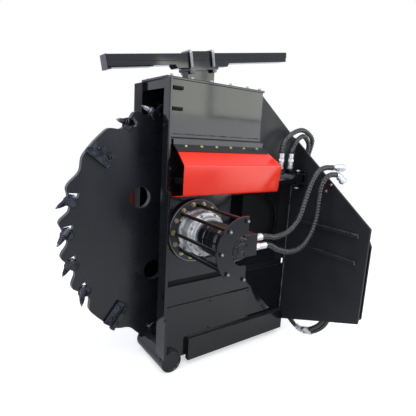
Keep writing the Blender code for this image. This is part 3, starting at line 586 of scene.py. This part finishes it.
side_bolts, side_welds = bmesh.new(), bmesh.new()
for number, angle in enumerate(QUARTERS):
    dress(f"side_cutter_{number + 1}", forged_steel, 1.2 * MM)
    turn = Matrix.Translation(WHEEL) @ Matrix.Rotation(radians(-angle), 4, "Y")
    for along_x in BOLTS_ALONG:
        for y, z, radius, height in BOLT_ROWS:
            button_bolt(side_bolts, turn @ Vector((along_x, y, z)), NEARWARD, radius, height)
    bead(side_welds, turn @ Vector((0.476, -0.0273, -0.0155)), turn @ Vector((0.584, -0.0273, -0.0155)), 0.0028)
piece("side_cutter_bolts", side_bolts, forged_steel, "cutter", edge=0.4 * MM)
piece("side_cutter_welds", side_welds, disc_enamel, "cutter")

# %% [markdown]
# ## Hub bolts
# Six yellow hexagon bolts hold the cap on the hub, on the far face of the disc. A hexagon is a lathe with six
# sides, so the head needs no helper of its own shape, only a chamfered crown and a washer.

# %% Hub bolts
def hex_bolt(bm, at, axis, across=0.013, height=0.008):
    """A hexagon head with a chamfered crown, on its washer."""
    lathe(bm, [(0, 0), (across * 0.78, 0), (across * 0.78, 0.0016), (0, 0.0016)], at, axis, 20)
    r = across * 0.577
    lathe(bm, [(0, 0.0016), (r, 0.0016), (r, height * 0.85), (r * 0.86, height), (0, height)], at, axis, 6)


hub_bolts = bmesh.new()
for k in range(6):
    x, z = polar(0.056, 60 * k + 20)
    hex_bolt(hub_bolts, WHEEL + Vector((x, DISC_HALF + 0.028, z)), (0, 1, 0), 0.019, 0.013)
piece("hub_cap_bolts", hub_bolts, yellow_zinc, "cutter", edge=0.5 * MM)

# %% [markdown]
# ## Cylinder cover
# The cover is one folded sheet, 4 mm thick, open at both ends. A press brake leaves a rounded bend, so each fold
# here is a short arc instead of a corner. A box with bevelled edges would look alike, but a sheet that Solidify
# thickens shows its true thickness at the open ends.

# %% Cylinder cover
WALL_Y = -0.117
FOLD = [(WALL_Y, 1.119), (WALL_Y, 1.091), (-0.230, 1.013), (-0.230, 0.887), (WALL_Y, 0.866)]
COLUMNS = 12


def rounded_bends(points, radius, count):
    """The same open outline with every inner corner replaced by an arc."""
    out = [Vector(points[0])]
    for before, corner, after in zip(points, points[1:], points[2:]):
        corner = Vector(corner)
        to_a, to_b = (Vector(before) - corner).normalized(), (Vector(after) - corner).normalized()
        reach = radius / tan(to_a.angle(to_b) / 2)
        start, end = corner + to_a * reach, corner + to_b * reach
        for i in range(count + 1):
            t = i / count
            out.append((1 - t) ** 2 * start + 2 * t * (1 - t) * corner + t * t * end)
    return out + [Vector(points[-1])]


def sheet_ends(z):
    """Where the sheet's cut ends lie at a height: they flare down the slope and tuck in at the bottom fold."""
    flare = min(1.0, max(0.0, (1.091 - z) / 0.078))
    tuck = min(1.0, max(0.0, (0.915 - z) / 0.028))
    left = -0.192 if z > 1.066 else -0.205 - 0.005 * flare
    return left, 0.335 + 0.030 * flare - 0.016 * tuck


sheet = bmesh.new()
rows = []
for y, z in rounded_bends(FOLD, 0.007, 5):
    left, right = sheet_ends(z)
    rows.append([sheet.verts.new((left + (right - left) * k / COLUMNS, y, z)) for k in range(COLUMNS + 1)])
for upper, lower in zip(rows, rows[1:]):
    for k in range(COLUMNS):
        sheet.faces.new((upper[k], lower[k], lower[k + 1], upper[k + 1]))
cover = piece("cylinder_cover_sheet", sheet, red_enamel, "frame", ["cylinder_cover"])
skin = cover.modifiers.new("sheet", "SOLIDIFY")
skin.thickness, skin.offset, skin.use_even_offset = 0.004, 1.0, True
folded_edge = cover.modifiers.new("edge", "BEVEL")
folded_edge.width, folded_edge.segments, folded_edge.limit_method = 0.0008, 2, "ANGLE"
folded_edge.angle_limit, folded_edge.harden_normals = radians(50), True

# %% [markdown]
# ## Cover strip bolts
# A strip clamps the top of the cover with six small domed bolts. They stand square to the sloping strip, so each
# is placed by two directions: down the slope, and outwards from it.

# %% Cover strip bolts
down_slope, outward = Vector((0, -0.823, -0.568)), Vector((0, -0.568, 0.823))
strip_bolts = bmesh.new()
for x in (-0.145, -0.061, 0.024, 0.108, 0.191, 0.277):
    seat = Vector((x, WALL_Y, 1.091)) + outward * 0.0093 + down_slope * 0.016
    button_bolt(strip_bolts, seat, outward, 0.0078, 0.0055)
piece("cover_strip_bolts", strip_bolts, yellow_zinc, "frame", edge=0.3 * MM)

# %% [markdown]
# ## Slide cylinder
# The barrel carries a gland nut in front and two square port blocks, and its rear eye turns on a headed pin.
# Crimped ferrules, each a ribbed sleeve over a hexagon nut, join the hoses to the ports; they are bright zinc.
# The ribs could be a bump, but they break the outline, so they are in the turned profile.

# %% Cylinder fittings
CYLINDER = Vector((0, -0.190, 0.939))
GLAND = [(0.0332, 0), (0.0365, 0.002), (0.0365, 0.030), (0.0332, 0.032)]
PORT_NUT = [(0, 0), (0.0165, 0), (0.0165, 0.010), (0.0150, 0.012), (0, 0.012)]
PIN_HEAD = [(0, 0), (0.0165, 0), (0.0165, 0.006), (0.0120, 0.009), (0, 0.009)]
FRONT_PORT_X, REAR_PORT_X = 0.403, 0.474


def block(bm, low, high, place=Matrix.Identity(4)):
    """Add a box between two corners."""
    low, high = Vector(low), Vector(high)
    cube = bmesh.ops.create_cube(bm, size=1.0)["verts"]
    shape = Matrix.Translation((low + high) / 2) @ Matrix.Diagonal((*(high - low), 1))
    bmesh.ops.transform(bm, matrix=place @ shape, verts=cube)


def ferrule(bm, at, axis, radius=0.0155, length=0.052):
    """A crimped ferrule on its hexagon nut: the nut first, then the ribbed sleeve."""
    nut = length * 0.36
    lathe(bm, [(0, 0), (radius * 1.02, 0), (radius * 1.02, nut * 0.9), (radius * 0.85, nut), (0, nut)], at, axis, 6)
    sleeve = [(0, nut)]
    for k in range(5):
        low = nut + (length - nut) * k / 5
        high = nut + (length - nut) * (k + 1) / 5
        sleeve += [(radius * 0.86, low), (radius * 0.96, low + 0.2 * (high - low)),
                   (radius * 0.96, low + 0.8 * (high - low)), (radius * 0.86, high)]
    lathe(bm, sleeve + [(radius * 0.7, length), (0, length)], at, axis, 24)


rings, ferrules, pin_heads, pin_nuts = bmesh.new(), bmesh.new(), bmesh.new(), bmesh.new()
lathe(rings, GLAND, CYLINDER + Vector((0.150, 0, 0)), REARWARD, 40, True)
for far in (0.392, 0.462):
    block(rings, CYLINDER + Vector((far, -0.019, 0.020)), CYLINDER + Vector((far + 0.026, 0.019, 0.046)))
for x in (FRONT_PORT_X, REAR_PORT_X):
    lathe(rings, PORT_NUT, (x, -0.190, 0.983), UP, 6)
    ferrule(ferrules, (x, -0.190, 0.996), UP, 0.0150, 0.036)
    ferrule(ferrules, (x, -0.190, 1.032), UP, 0.0160, 0.042)
for z, way in ((0.895, -1), (0.981, 1)):
    lathe(pin_heads, PIN_HEAD, (0.541, -0.190, z), (0, 0, way), 24)
for z, way in ((0.977, 1), (0.901, -1)):
    hex_bolt(pin_nuts, (-0.165, -0.190, z), (0, 0, way), 0.024, 0.013)
piece("cylinder_rings", rings, black_enamel, "frame", edge=0.8 * MM)
piece("anchor_pin_heads", pin_heads, bright_zinc, "frame", edge=0.5 * MM)
piece("cylinder_ferrules", ferrules, bright_zinc, "frame", edge=0.3 * MM)
piece("rod_pin_nuts", pin_nuts, bright_zinc, "carriage", edge=0.4 * MM)

# %% [markdown]
# ## Motor flange
# A thick grey ring bolts the gearbox to the carriage plate with fourteen yellow bolts. It is lathed as a closed
# profile, because it has a hole. A thin bright hoop laid on its outer corner is a painted highlight: it stands
# for the light caught along that edge, more crisply than the bevel catches it.

# %% Motor flange
FACE = Vector((WHEEL.x, -0.1373, WHEEL.z))
FLANGE = [(0.060, -0.0345), (0.149, -0.0345), (0.149, -0.004), (0.1455, 0), (0.1455, 0.0003), (0.060, 0.0003)]
HIGHLIGHT_HOOP = 0.0022
flange, rim = bmesh.new(), bmesh.new()
lathe(flange, FLANGE, FACE, NEARWARD, 96, True)
sweep(rim, hoop(FACE + Vector((0, HIGHLIGHT_HOOP, 0)), 0.1475, 120), 8, lambda turn, far: HIGHLIGHT_HOOP)
piece("motor_flange_ring", flange, dark_casting, "carriage", ["motor_flange"], 1.2 * MM)
# A bright hoop on the flange's outer corner: a painted highlight.
piece("flange_painted_highlight_rim", rim, dull_zinc, "carriage")

# %% [markdown]
# ## Reduction gearbox
# The gearbox is a sand casting under silver paint: a square-shouldered foot, a ribbed barrel and a rim of bosses
# for cap screws. Draft and fillets are what make a casting look cast, so every step in the profile has a slope or
# a round to it. Ribs and shoulders are plain blocks sunk in the turned body, and the bevel rounds where they end.

# %% Gearbox
GEARBOX = [(0, 0.0003), (0.106, 0.0003), (0.106, 0.010), (0.101, 0.014), (0.095, 0.018), (0.092, 0.026),
           (0.091, 0.052), (0.094, 0.060), (0.101, 0.064), (0.103, 0.067), (0.103, 0.077), (0.100, 0.080),
           (0.090, 0.084), (0.086, 0.090), (0.085, 0.104), (0.082, 0.108), (0, 0.108)]
CAP_SCREWS = (8, 0.0935, 0.0805, 22)  # how many, how far out, how deep, where the first one is


def around(count, radius, depth, start=0.0):
    """Points evenly round the motor's axis, some way out from the flange face."""
    for k in range(count):
        x, z = polar(radius, start + 360 * k / count)
        yield FACE + Vector((x, -depth, z))


case, screws, flange_bolts = bmesh.new(), bmesh.new(), bmesh.new()
lathe(case, GEARBOX, FACE, NEARWARD, 96)
for count, start, low, high in ((8, 12, (0.086, -0.064, -0.006), (0.1005, -0.012, 0.006)),
                                (4, 45, (0.070, -0.012, -0.030), (0.113, 0.0, 0.030))):
    for k in range(count):
        turn = Matrix.Rotation(radians(360 / count * k + start), 4, "Y")
        block(case, low, high, Matrix.Translation(FACE) @ turn)
for at in around(*CAP_SCREWS):
    lathe(case, [(0, -0.012), (0.0095, -0.012), (0.0095, 0.0), (0, 0.0)], at, NEARWARD, 20)
    button_bolt(screws, at, NEARWARD, 0.0070, 0.0065)
for at in around(4, 0.104, 0.0120, 45):
    button_bolt(screws, at, NEARWARD, 0.0075, 0.008)
lathe(screws, [(0, 0), (0.010, 0), (0.010, 0.007), (0.006, 0.009), (0, 0.009)],
      FACE + Vector((-0.062, -0.034, 0.067)), (-0.68, 0, 0.73), 6)
for at in around(14, 0.1275, 0.0003, 102):
    hex_bolt(flange_bolts, at, NEARWARD, 0.0155, 0.010)
piece("gearbox_casting", case, silver_casting, "carriage", ["motor_gearbox"], 1.6 * MM)
piece("gearbox_screws", screws, dull_zinc, "carriage", edge=0.4 * MM)
piece("flange_bolts", flange_bolts, yellow_zinc, "carriage", edge=0.5 * MM)

# %% [markdown]
# ## Motor
# The motor is a black cast body with an end cover, a stepped cap and a square block with two ports. It is turned
# in one profile, as the castings of such a motor line up, and the port block is set in its side.

# %% Motor
MOTOR = [(0, 0.1085), (0.072, 0.1085), (0.0745, 0.111), (0.0745, 0.150), (0.072, 0.153), (0.072, 0.178),
         (0.0745, 0.181), (0.0745, 0.226), (0.070, 0.232), (0.068, 0.236), (0.068, 0.276), (0.062, 0.284),
         (0.058, 0.2885), (0, 0.2885)]
MOTOR_CAP = [(0.058, 0.286), (0.058, 0.300), (0.050, 0.306), (0.047, 0.318), (0.043, 0.322), (0.024, 0.322),
             (0.022, 0.326), (0.012, 0.326), (0.010, 0.322), (0, 0.322)]
PORT_BOSS = [(0, 0), (0.0175, 0), (0.0175, 0.008), (0, 0.008)]
motor, motor_screws = bmesh.new(), bmesh.new()
lathe(motor, MOTOR, FACE, NEARWARD, 64)
lathe(motor, MOTOR_CAP, FACE, NEARWARD, 48)
block(motor, FACE + Vector((0.020, -0.3147, -0.040)), FACE + Vector((0.092, -0.2507, 0.052)))
for z in (0.026, -0.014):
    lathe(motor, PORT_BOSS, FACE + Vector((0.092, -0.2827, z)), REARWARD, 24)
for at in around(7, 0.0650, 0.2765, 10):
    hex_bolt(motor_screws, at, NEARWARD, 0.012, 0.010)
for at in around(5, 0.0340, 0.3225, 20):
    button_bolt(motor_screws, at, NEARWARD, 0.0058, 0.0045)
piece("motor_casting", motor, black_enamel, "carriage", ["motor_body"], 1.6 * MM)
piece("motor_screws", motor_screws, turned_steel, "carriage", edge=0.3 * MM)

# %% [markdown]
# ## Guard nuts
# Five studs carry the guard plate in front of the motor. Each ends in a nut with a little thread standing out,
# which is shinier than the nut, so the ends are a piece of their own.

# %% Guard nuts
STUD_END = [(0, 0), (0.0050, 0), (0.0050, 0.011), (0.0040, 0.0125), (0, 0.0125)]
GUARD_DEPTH = 0.343
guard_nuts, stud_ends = bmesh.new(), bmesh.new()
for angle in (90, 135, 180, 225, 270):
    x, z = polar(0.120, angle)
    at = FACE + Vector((x, -GUARD_DEPTH, z))
    hex_bolt(guard_nuts, at, NEARWARD, 0.0165, 0.0080)
    lathe(stud_ends, STUD_END, at, NEARWARD, 16)
piece("guard_nuts", guard_nuts, turned_steel, "carriage", edge=0.4 * MM)
piece("guard_stud_ends", stud_ends, dull_zinc, "carriage")

# %% [markdown]
# ## Hoses
# Each hydraulic hose wears a spiral guard, a ridge that winds round it every 15 mm. A separate strip could be
# wound round a plain tube; here the guard is the hose's own surface, which has fewer faces. The sweep's radius
# rises once per turn, and the rise moves on with the distance travelled, which makes a helix.
# The two motor hoses are given no body.

# %% Motor hoses
RIDGE_PITCH, RIDGE_DEPTH, RIDGE_FLATNESS = 0.0150, 0.0036, 1.7


def catmull(points, spacing):
    """Points along a smooth curve through the given ones."""
    points = [Vector(p) for p in points]
    padded = [2 * points[0] - points[1], *points, 2 * points[-1] - points[-2]]
    route = [points[0]]
    for p0, p1, p2, p3 in zip(padded, padded[1:], padded[2:], padded[3:]):
        count = max(1, round((p2 - p1).length / spacing))
        for step in range(1, count + 1):
            t = step / count
            route.append(0.5 * (2 * p1 + (p2 - p0) * t + (2 * p0 - 5 * p1 + 4 * p2 - p3) * t * t
                                + (3 * p1 - p0 - 3 * p2 + p3) * t ** 3))
    return route


def guarded_hose(name, points, body, node, radius=0.0140, rings=5, sides=14):
    """A hose with a helical guard along a smooth route; rings says how many rings of points make one turn."""
    bm = bmesh.new()
    route = catmull(points, 0.012)
    dense, gap = [route[0]], RIDGE_PITCH / rings
    for before, after in zip(route, route[1:]):
        steps = max(1, round((after - before).length / gap))
        dense += [before.lerp(after, i / steps) for i in range(1, steps + 1)]

    def ridge(turn, far):
        phase = (far / RIDGE_PITCH - turn / (2 * pi)) % 1.0
        return radius - RIDGE_DEPTH + RIDGE_DEPTH * (1 - abs(2 * phase - 1) ** RIDGE_FLATNESS)

    length = sweep(bm, dense, sides, ridge)
    hose = piece(name, bm, hose_guard, body, [node])
    hose.data.set_sharp_from_angle(angle=radians(80))
    print(f"{name}: {length:.2f} m long")
    return hose


upper_hose = guarded_hose("upper_motor_hose", [
    (0.0685, -0.420, 0.726), (0.090, -0.420, 0.726), (0.130, -0.415, 0.718), (0.183, -0.405, 0.709),
    (0.268, -0.398, 0.721), (0.350, -0.385, 0.770), (0.396, -0.375, 0.852), (0.440, -0.366, 0.935),
    (0.490, -0.360, 0.995), (0.545, -0.360, 1.016), (0.582, -0.361, 1.017), (0.600, -0.361, 1.017)],
    None, "motor_hose_upper")
lower_hose = guarded_hose("lower_motor_hose", [
    (0.1005, -0.420, 0.686), (0.118, -0.420, 0.686), (0.150, -0.417, 0.674), (0.200, -0.412, 0.649),
    (0.296, -0.402, 0.624), (0.390, -0.392, 0.634), (0.458, -0.383, 0.690), (0.491, -0.380, 0.770),
    (0.495, -0.379, 0.850), (0.500, -0.380, 0.920), (0.526, -0.384, 0.968), (0.560, -0.389, 0.984),
    (0.584, -0.390, 0.984), (0.598, -0.390, 0.984)], None, "motor_hose_lower")
for hose in (upper_hose, lower_hose):
    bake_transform(hose)

# %% [markdown]
# ## Cylinder hoses
# From the ports, two hoses loop over the near wing, run down behind it and turn up under the loader plate. They
# are alike but for where they drop and how wide they loop, so one route with those numbers left open gives both.

# %% Cylinder hoses
FRONT_DROP_X, REAR_DROP_X = 0.643, 0.616
FRONT_LOW, REAR_LOW = 0.050, 0.075
for name, port_x, drop_x, low, crest in (("front", FRONT_PORT_X, FRONT_DROP_X, FRONT_LOW, 1.199),
                                         ("rear", REAR_PORT_X, REAR_DROP_X, REAR_LOW, 1.168)):
    span = drop_x - port_x
    guarded_hose(f"{name}_cylinder_hose", [
        (port_x, -0.190, 1.0695), (port_x, -0.190, 1.090), (port_x + 0.010, -0.190, crest - 0.068),
        (port_x + 0.25 * span, -0.191, crest - 0.024), (port_x + 0.55 * span, -0.191, crest),
        (port_x + 0.80 * span, -0.189, crest - 0.015), (drop_x - 0.003, -0.185, crest - 0.050),
        (drop_x, -0.172, crest - 0.110), (drop_x, -0.140, 0.989), (drop_x, -0.1225, 0.909),
        (drop_x, -0.1225, 0.749), (drop_x, -0.1225, 0.589), (drop_x, -0.1225, 0.429), (drop_x, -0.1225, 0.229),
        (drop_x, -0.133, low + 0.090), (drop_x, -0.165, low + 0.035), (drop_x, -0.215, low + 0.003),
        (drop_x, -0.265, low), (drop_x, -0.325, low + 0.024), (drop_x, -0.380, low + 0.072),
        (drop_x, -0.414, low + 0.130), (drop_x, -0.420, 0.250), (drop_x, -0.420, 0.2695)],
        "frame", f"cylinder_hose_{name}", 0.0130, 4, 12)

# %% [markdown]
# ## Hose fittings
# Ferrules close the motor hoses at the ports, and two more pairs join the cylinder hoses in their low loop. The
# motor hoses end in quick couplers that lean out over the wing: a short neck, then a stepped sleeve. Each coupler
# is turned in two profiles, one along the hose and one along its own lean.

# %% Hose fittings
COUPLER_NECK = [(0, 0), (0.0140, 0), (0.0140, 0.012), (0.0125, 0.014), (0.0125, 0.024), (0.009, 0.028), (0, 0.028)]
COUPLER_SLEEVE = [(0, -0.010), (0.015, -0.010), (0.0155, 0.010), (0.0190, 0.012), (0.0190, 0.024), (0.0160, 0.026),
                  (0.0160, 0.029), (0.0200, 0.031), (0.0200, 0.046), (0.0185, 0.048), (0.0140, 0.048),
                  (0.0140, 0.053), (0.0110, 0.055), (0, 0.055)]
motor_ferrules, bottom_ferrules = bmesh.new(), bmesh.new()
for z, length in ((0.726, 0.040), (0.686, 0.070)):
    ferrule(motor_ferrules, (0.036, -0.420, z), REARWARD, 0.0165, length)
piece("motor_ferrules", motor_ferrules, bright_zinc, "carriage", edge=0.3 * MM)
for name, start, fall in (("upper", Vector((0.6005, -0.361, 1.017)), 0.05),
                          ("lower", Vector((0.5985, -0.390, 0.984)), -0.90)):
    coupler = bmesh.new()
    lathe(coupler, COUPLER_NECK, start, REARWARD, 24)
    lathe(coupler, COUPLER_SLEEVE, start + Vector((0.016, 0, 0)), Vector((0.35, -0.75, fall)).normalized(), 28)
    piece(f"{name}_quick_coupler", coupler, bright_zinc, "frame", [f"coupler_{name}"], 0.3 * MM)
for x, low in ((FRONT_DROP_X, FRONT_LOW), (REAR_DROP_X, REAR_LOW)):
    for y, height, tilt in ((-0.232, 0.0015, -0.02), (-0.284, 0.0075, 0.30)):
        ferrule(bottom_ferrules, (x, y, low + height), (0, -1, tilt), 0.0150, 0.044)
piece("bottom_ferrules", bottom_ferrules, bright_zinc, "frame", edge=0.3 * MM)

# %% [markdown]
# ## Skid tube
# The front foot is a round tube across the box, closed by caps let in a little from its ends. The whole of it,
# caps and all, is one turned profile, so the step at each cap is a true recess and not a line.

# %% Skid tube
SKID_TUBE = [(0, 0.006), (0.044, 0.006), (0.0455, 0.004), (0.0475, 0.0), (0.0520, 0.0), (0.0530, 0.0012),
             (0.053, 0.2768), (0.052, 0.278), (0.0475, 0.278), (0.0455, 0.274), (0.044, 0.272), (0, 0.272)]
foot = bmesh.new()
lathe(foot, SKID_TUBE, (-0.177, -0.143, 0.053), (0, 1, 0), 80)
piece("skid_tube_shell", foot, black_enamel, "frame", ["front_skid_tube"], 0.8 * MM)

# %% [markdown]
# ## Lugs and the far guard
# A welder adds small things last: two lugs at the top of the near side plate, a seam strip above the cover and a
# tab beside the wing, all in the darker matt copy of the enamel, as painted shade. On the far front bar a small
# red guard is folded round the edge; it shows through the disc's lifting hole. They are blocks, rounded by the
# bevel.

# %% Lugs and the far guard
lugs, guard = bmesh.new(), bmesh.new()
for z in (1.333, 1.247):
    block(lugs, (-0.213, -0.127, z - 0.009), (-0.163, -0.1155, z + 0.006))
    block(lugs, (-0.205, -0.131, z - 0.004), (-0.171, -0.1155, z + 0.002))
block(lugs, (-0.2310, -0.1195, 1.1215), (0.308, -0.1155, 1.1275))
block(lugs, (0.556, -0.1195, 1.09), (0.5845, -0.1155, 1.115))
block(guard, (-0.266, 0.1920, 0.740), (-0.150, 0.1950, 0.900))
block(guard, (-0.266, 0.1920, 0.897), (-0.150, 0.2350, 0.900))
# The lugs, the seam strip and the tab take the darker copy: painted shade.
piece("side_lugs", lugs, painted_shade_enamel, "frame", edge=1.0 * MM)
piece("far_red_guard", guard, red_enamel, "frame", edge=1.0 * MM)

# %% [markdown]
# ## Fasteners of the frame
# Hexagon bolts hold the lid, painted domed bolts the cover plate, and two bolts on each wing pass right through,
# with a domed head in front and a nut behind. All of one finish and body go into one piece.

# %% Fasteners of the frame
LID_TOP, COVER_PLATE_FACE, WING_FRONT, WING_BACK = 1.377, -0.1243, 0.5847, 0.5973
lid_bolts, plate_bolts, wing_bolts = bmesh.new(), bmesh.new(), bmesh.new()
for x in (-0.215, -0.110, -0.007, 0.104, 0.210, 0.290):
    for y in (-0.108, 0.108):
        hex_bolt(lid_bolts, (x, y, LID_TOP), UP, 0.013, 0.009)
for x in (-0.212, 0.048, 0.306):
    for z in (0.168, 0.316):
        button_bolt(plate_bolts, (x, COVER_PLATE_FACE, z), NEARWARD, 0.0062, 0.0045)
for side in (-1, 1):
    for y, z in ((0.378, 0.931), (0.353, 0.896)):
        button_bolt(wing_bolts, (WING_FRONT, side * y, z), (-1, 0, 0), 0.0082, 0.006)
        hex_bolt(wing_bolts, (WING_BACK, side * y, z), REARWARD, 0.013, 0.009)
piece("lid_bolts", lid_bolts, dull_zinc, "frame", edge=0.4 * MM)
piece("plate_bolts", plate_bolts, black_enamel, "frame", edge=0.4 * MM)
piece("wing_bolts", wing_bolts, yellow_zinc, "frame", edge=0.3 * MM)

# %% [markdown]
# ## Welds
# The box is stitched together from plate, and its fillet welds stay visible under the paint as rippled beads.
# On the wings, down the wing seam and along the strip the beads take a bright metal, as a painted highlight for
# the glints along them. A bump could give the ripple on a flat edge, but a real bead stands out of the corner,
# so each is swept along its seam.

# %% Weld beads
WING_BARS = ((0.211, 0.567, 0.705), (0.263, 0.566, 0.572))  # inner end, outer end, height
# The second mesh gathers the beads in bright metal: painted highlights.
welds, highlit_welds = bmesh.new(), bmesh.new()
for side in (-1, 1):
    y = side * 0.1175
    bead(highlit_welds, (0.5835, y, 0.150), (0.5835, y, 1.145), 0.0030)
    bead(welds, (-0.075, y, 0.1475), (0.5835, y, 0.1475), 0.0030)
    for start, end, z in WING_BARS:
        bead(welds, (0.5842, side * start, z - 0.0085), (0.5842, side * end, z - 0.0085), 0.0024)
        bead(highlit_welds, (0.5842, side * start, z + 0.0085), (0.5842, side * end, z + 0.0085), 0.0026)
        bead(highlit_welds, (0.5780, side * (end + 0.001), z - 0.007), (0.5780, side * (end + 0.001), z + 0.007), 0.0030)
        bead(highlit_welds, (0.5735, side * (end - 0.075), z + 0.0070), (0.5735, side * end, z + 0.0070), 0.0020)
    bead(welds, (-0.2315, side * 0.1165, 0.135), (-0.2315, side * 0.1165, 1.360), 0.0026)
bead(highlit_welds, (-0.202, -0.1165, 1.1405), (0.300, -0.1165, 1.1405), 0.0024)
bead(highlit_welds, (0.3135, -0.1163, 1.140), (0.3135, -0.1163, 1.350), 0.0016)
for y in (-0.056, -0.004):
    bead(welds, (-0.099, y, 1.3785), (0.044, y, 1.3785), 0.0032)
bead(welds, (0.500, -0.100, 0.0895), (0.580, -0.100, 0.0895), 0.0030)
for y in (-0.1168, 0.1168):
    sweep(welds, hoop((-0.177, y, 0.053), 0.0535, 41, 8, 172), 7,
          lambda turn, far: 0.0030 * (1 + 0.2 * sin(far / 0.0014)))
piece("weld_beads", welds, black_enamel, "frame")
# These beads' bright metal is a painted highlight.
piece("painted_highlight_weld_beads", highlit_welds, weld_highlight_metal, "frame")

# %% [markdown]
# ## Spring clamp
# Two U-bolts pull the leaves down on the clamp plate. A packing block spreads their load over the top leaf, and
# nuts close them from below. The front of the leaves is held together by a bent clip. The whole clamp leans back
# 10 degrees with the spring, so its parts are written square to the leaf and one matrix tilts them.

# %% Spring clamp
SPRING = Matrix.Translation((-0.030, -0.030, 1.506)) @ Matrix.Rotation(radians(-10), 4, "Y")
packing, u_nuts = bmesh.new(), bmesh.new()
for low, high in (((-0.060, -0.029, 0.0002), (0.040, 0.029, 0.0085)),
                  ((-0.4600, -0.0315, -0.0560), (-0.4562, 0.0315, 0.0012)),
                  ((-0.4600, -0.0315, -0.0560), (-0.4440, 0.0315, -0.0500)),
                  ((-0.445, -0.027, -0.0505), (-0.255, 0.027, -0.0465))):
    block(packing, low, high, SPRING)
for x in (-0.070, 0.050):
    for y in (-0.0395, 0.0395):
        hex_bolt(u_nuts, SPRING @ Vector((x, y, -0.0740)), SPRING.to_3x3() @ Vector((0, 0, -1)), 0.0205, 0.0115)
piece("spring_packing", packing, black_enamel, "frame", edge=0.8 * MM)
piece("u_bolt_nuts", u_nuts, dull_zinc, "frame", edge=0.4 * MM)

# %% [markdown]
# ## Floor and surround
# A pale floor runs out to a white surround. To be white, the floor could be lit harder, but then the paint would
# wash out; instead both are lifted only for the rays that reach the camera directly, and for the surround in
# reflections too. The floor keeps its shadow, and the machine is lit as it would be anywhere.

# %% Floor and surround
FLOOR_LIFT, SURROUND_LIGHT = 0.50, 0.62


def stage_floor():
    """A wide floor just under the feet, lifted towards white where the camera sees it."""
    bm = bmesh.new()
    bmesh.ops.create_grid(bm, x_segments=1, y_segments=1, size=30.0)
    mesh = bpy.data.meshes.new("floor")
    bm.to_mesh(mesh)
    bm.free()
    material = bpy.data.materials.new("matte_white_floor")
    material.use_nodes = True
    tree = material.node_tree
    paint = tree.nodes["Principled BSDF"]
    paint.inputs["Base Color"].default_value = srgb("#F4F4F4")
    paint.inputs["Roughness"].default_value = 0.9
    rays = add_node(tree, "ShaderNodeLightPath")
    lift = add_node(tree, "ShaderNodeMath", {0: rays.outputs["Is Camera Ray"], 1: FLOOR_LIFT}, operation="MULTIPLY")
    glow = add_node(tree, "ShaderNodeEmission", {"Color": srgb("#FFFFFF"), "Strength": lift.outputs[0]})
    both = add_node(tree, "ShaderNodeAddShader", {0: paint.outputs[0], 1: glow.outputs[0]})
    tree.links.new(both.outputs[0], tree.nodes["Material Output"].inputs["Surface"])
    mesh.materials.append(material)
    floor = bpy.data.objects.new("floor", mesh)
    floor.location.z = -0.5 * MM
    bpy.context.scene.collection.objects.link(floor)


def surround():
    """White where it is seen, as bright but a little cool in reflections, and softer where it only lights."""
    world = bpy.data.worlds.new("white_surround")
    bpy.context.scene.world = world
    world.use_nodes = True
    tree = world.node_tree
    rays = add_node(tree, "ShaderNodeLightPath")
    seen = add_node(tree, "ShaderNodeMath", {0: rays.outputs["Is Camera Ray"], 1: rays.outputs["Is Glossy Ray"]},
                    operation="MAXIMUM")
    level = add_node(tree, "ShaderNodeMapRange", {"Value": seen.outputs[0], "To Min": SURROUND_LIGHT,
                                                  "To Max": 1.0})
    tone = add_node(tree, "ShaderNodeMix", {0: rays.outputs["Is Camera Ray"], 6: srgb("#EDF2FF"),
                                            7: srgb("#FFFFFF")}, data_type="RGBA")
    tree.links.new(level.outputs[0], tree.nodes["Background"].inputs["Strength"])
    tree.links.new(tone.outputs[2], tree.nodes["Background"].inputs["Color"])


stage_floor()
surround()
print("floor lifted by", FLOOR_LIFT, "and surround at", SURROUND_LIGHT)

# %% [markdown]
# ## Lamps
# Black gloss paint shows what stands round it more than its own colour. One large soft lamp hangs overhead and a
# second fills from the left. Four flat panes in one plane stand off to the right of the near side, two above a
# long sill and one low: the side plate mirrors them, as it would a workshop's windows. A pane's power follows
# from its brightness and its area, so all stay as bright when their size is changed.

# %% Lamps
PANE_Y = -1.87
PANES = (("window_left", 0.70, 1.22, 1.35, 1.84, 4.2, "#FBFFF0"),
         ("window_right", 1.27, 3.10, 1.37, 1.84, 3.8, "#FBFFF0"),
         ("window_sill", 0.70, 3.10, 1.00, 1.345, 2.5, "#FFFFFF"),
         ("window_low", 1.36, 2.30, 0.50, 0.95, 2.6, "#FFF4F0"))


def softbox(name, at, towards, width, height, watts, tint="#FFFFFF"):
    """A large soft lamp that looks at a point."""
    lamp = bpy.data.lights.new(name, "AREA")
    lamp.shape = "RECTANGLE"
    lamp.size, lamp.size_y = width, height
    lamp.energy, lamp.color = watts, srgb(tint)[:3]
    obj = bpy.data.objects.new(name, lamp)
    obj.location = at
    obj.rotation_euler = (Vector(towards) - Vector(at)).to_track_quat("-Z", "Y").to_euler()
    bpy.context.scene.collection.objects.link(obj)
    print(f"{name}: {watts:.1f} W over {width:.2f} x {height:.2f} m")


softbox("overhead", (-0.6, -1.2, 3.4), (0.0, 0.0, 0.7), 2.6, 2.6, 60.0)
softbox("left_fill", (-3.2, -0.4, 1.5), (0.0, 0.0, 0.7), 1.6, 2.2, 22.0)
for name, low_x, high_x, low_z, high_z, level, tint in PANES:
    wide, tall = high_x - low_x, high_z - low_z
    middle = ((low_x + high_x) / 2, PANE_Y, (low_z + high_z) / 2)
    softbox(name, middle, (middle[0], 0.0, middle[2]), wide, tall, level * pi * wide * tall, tint)
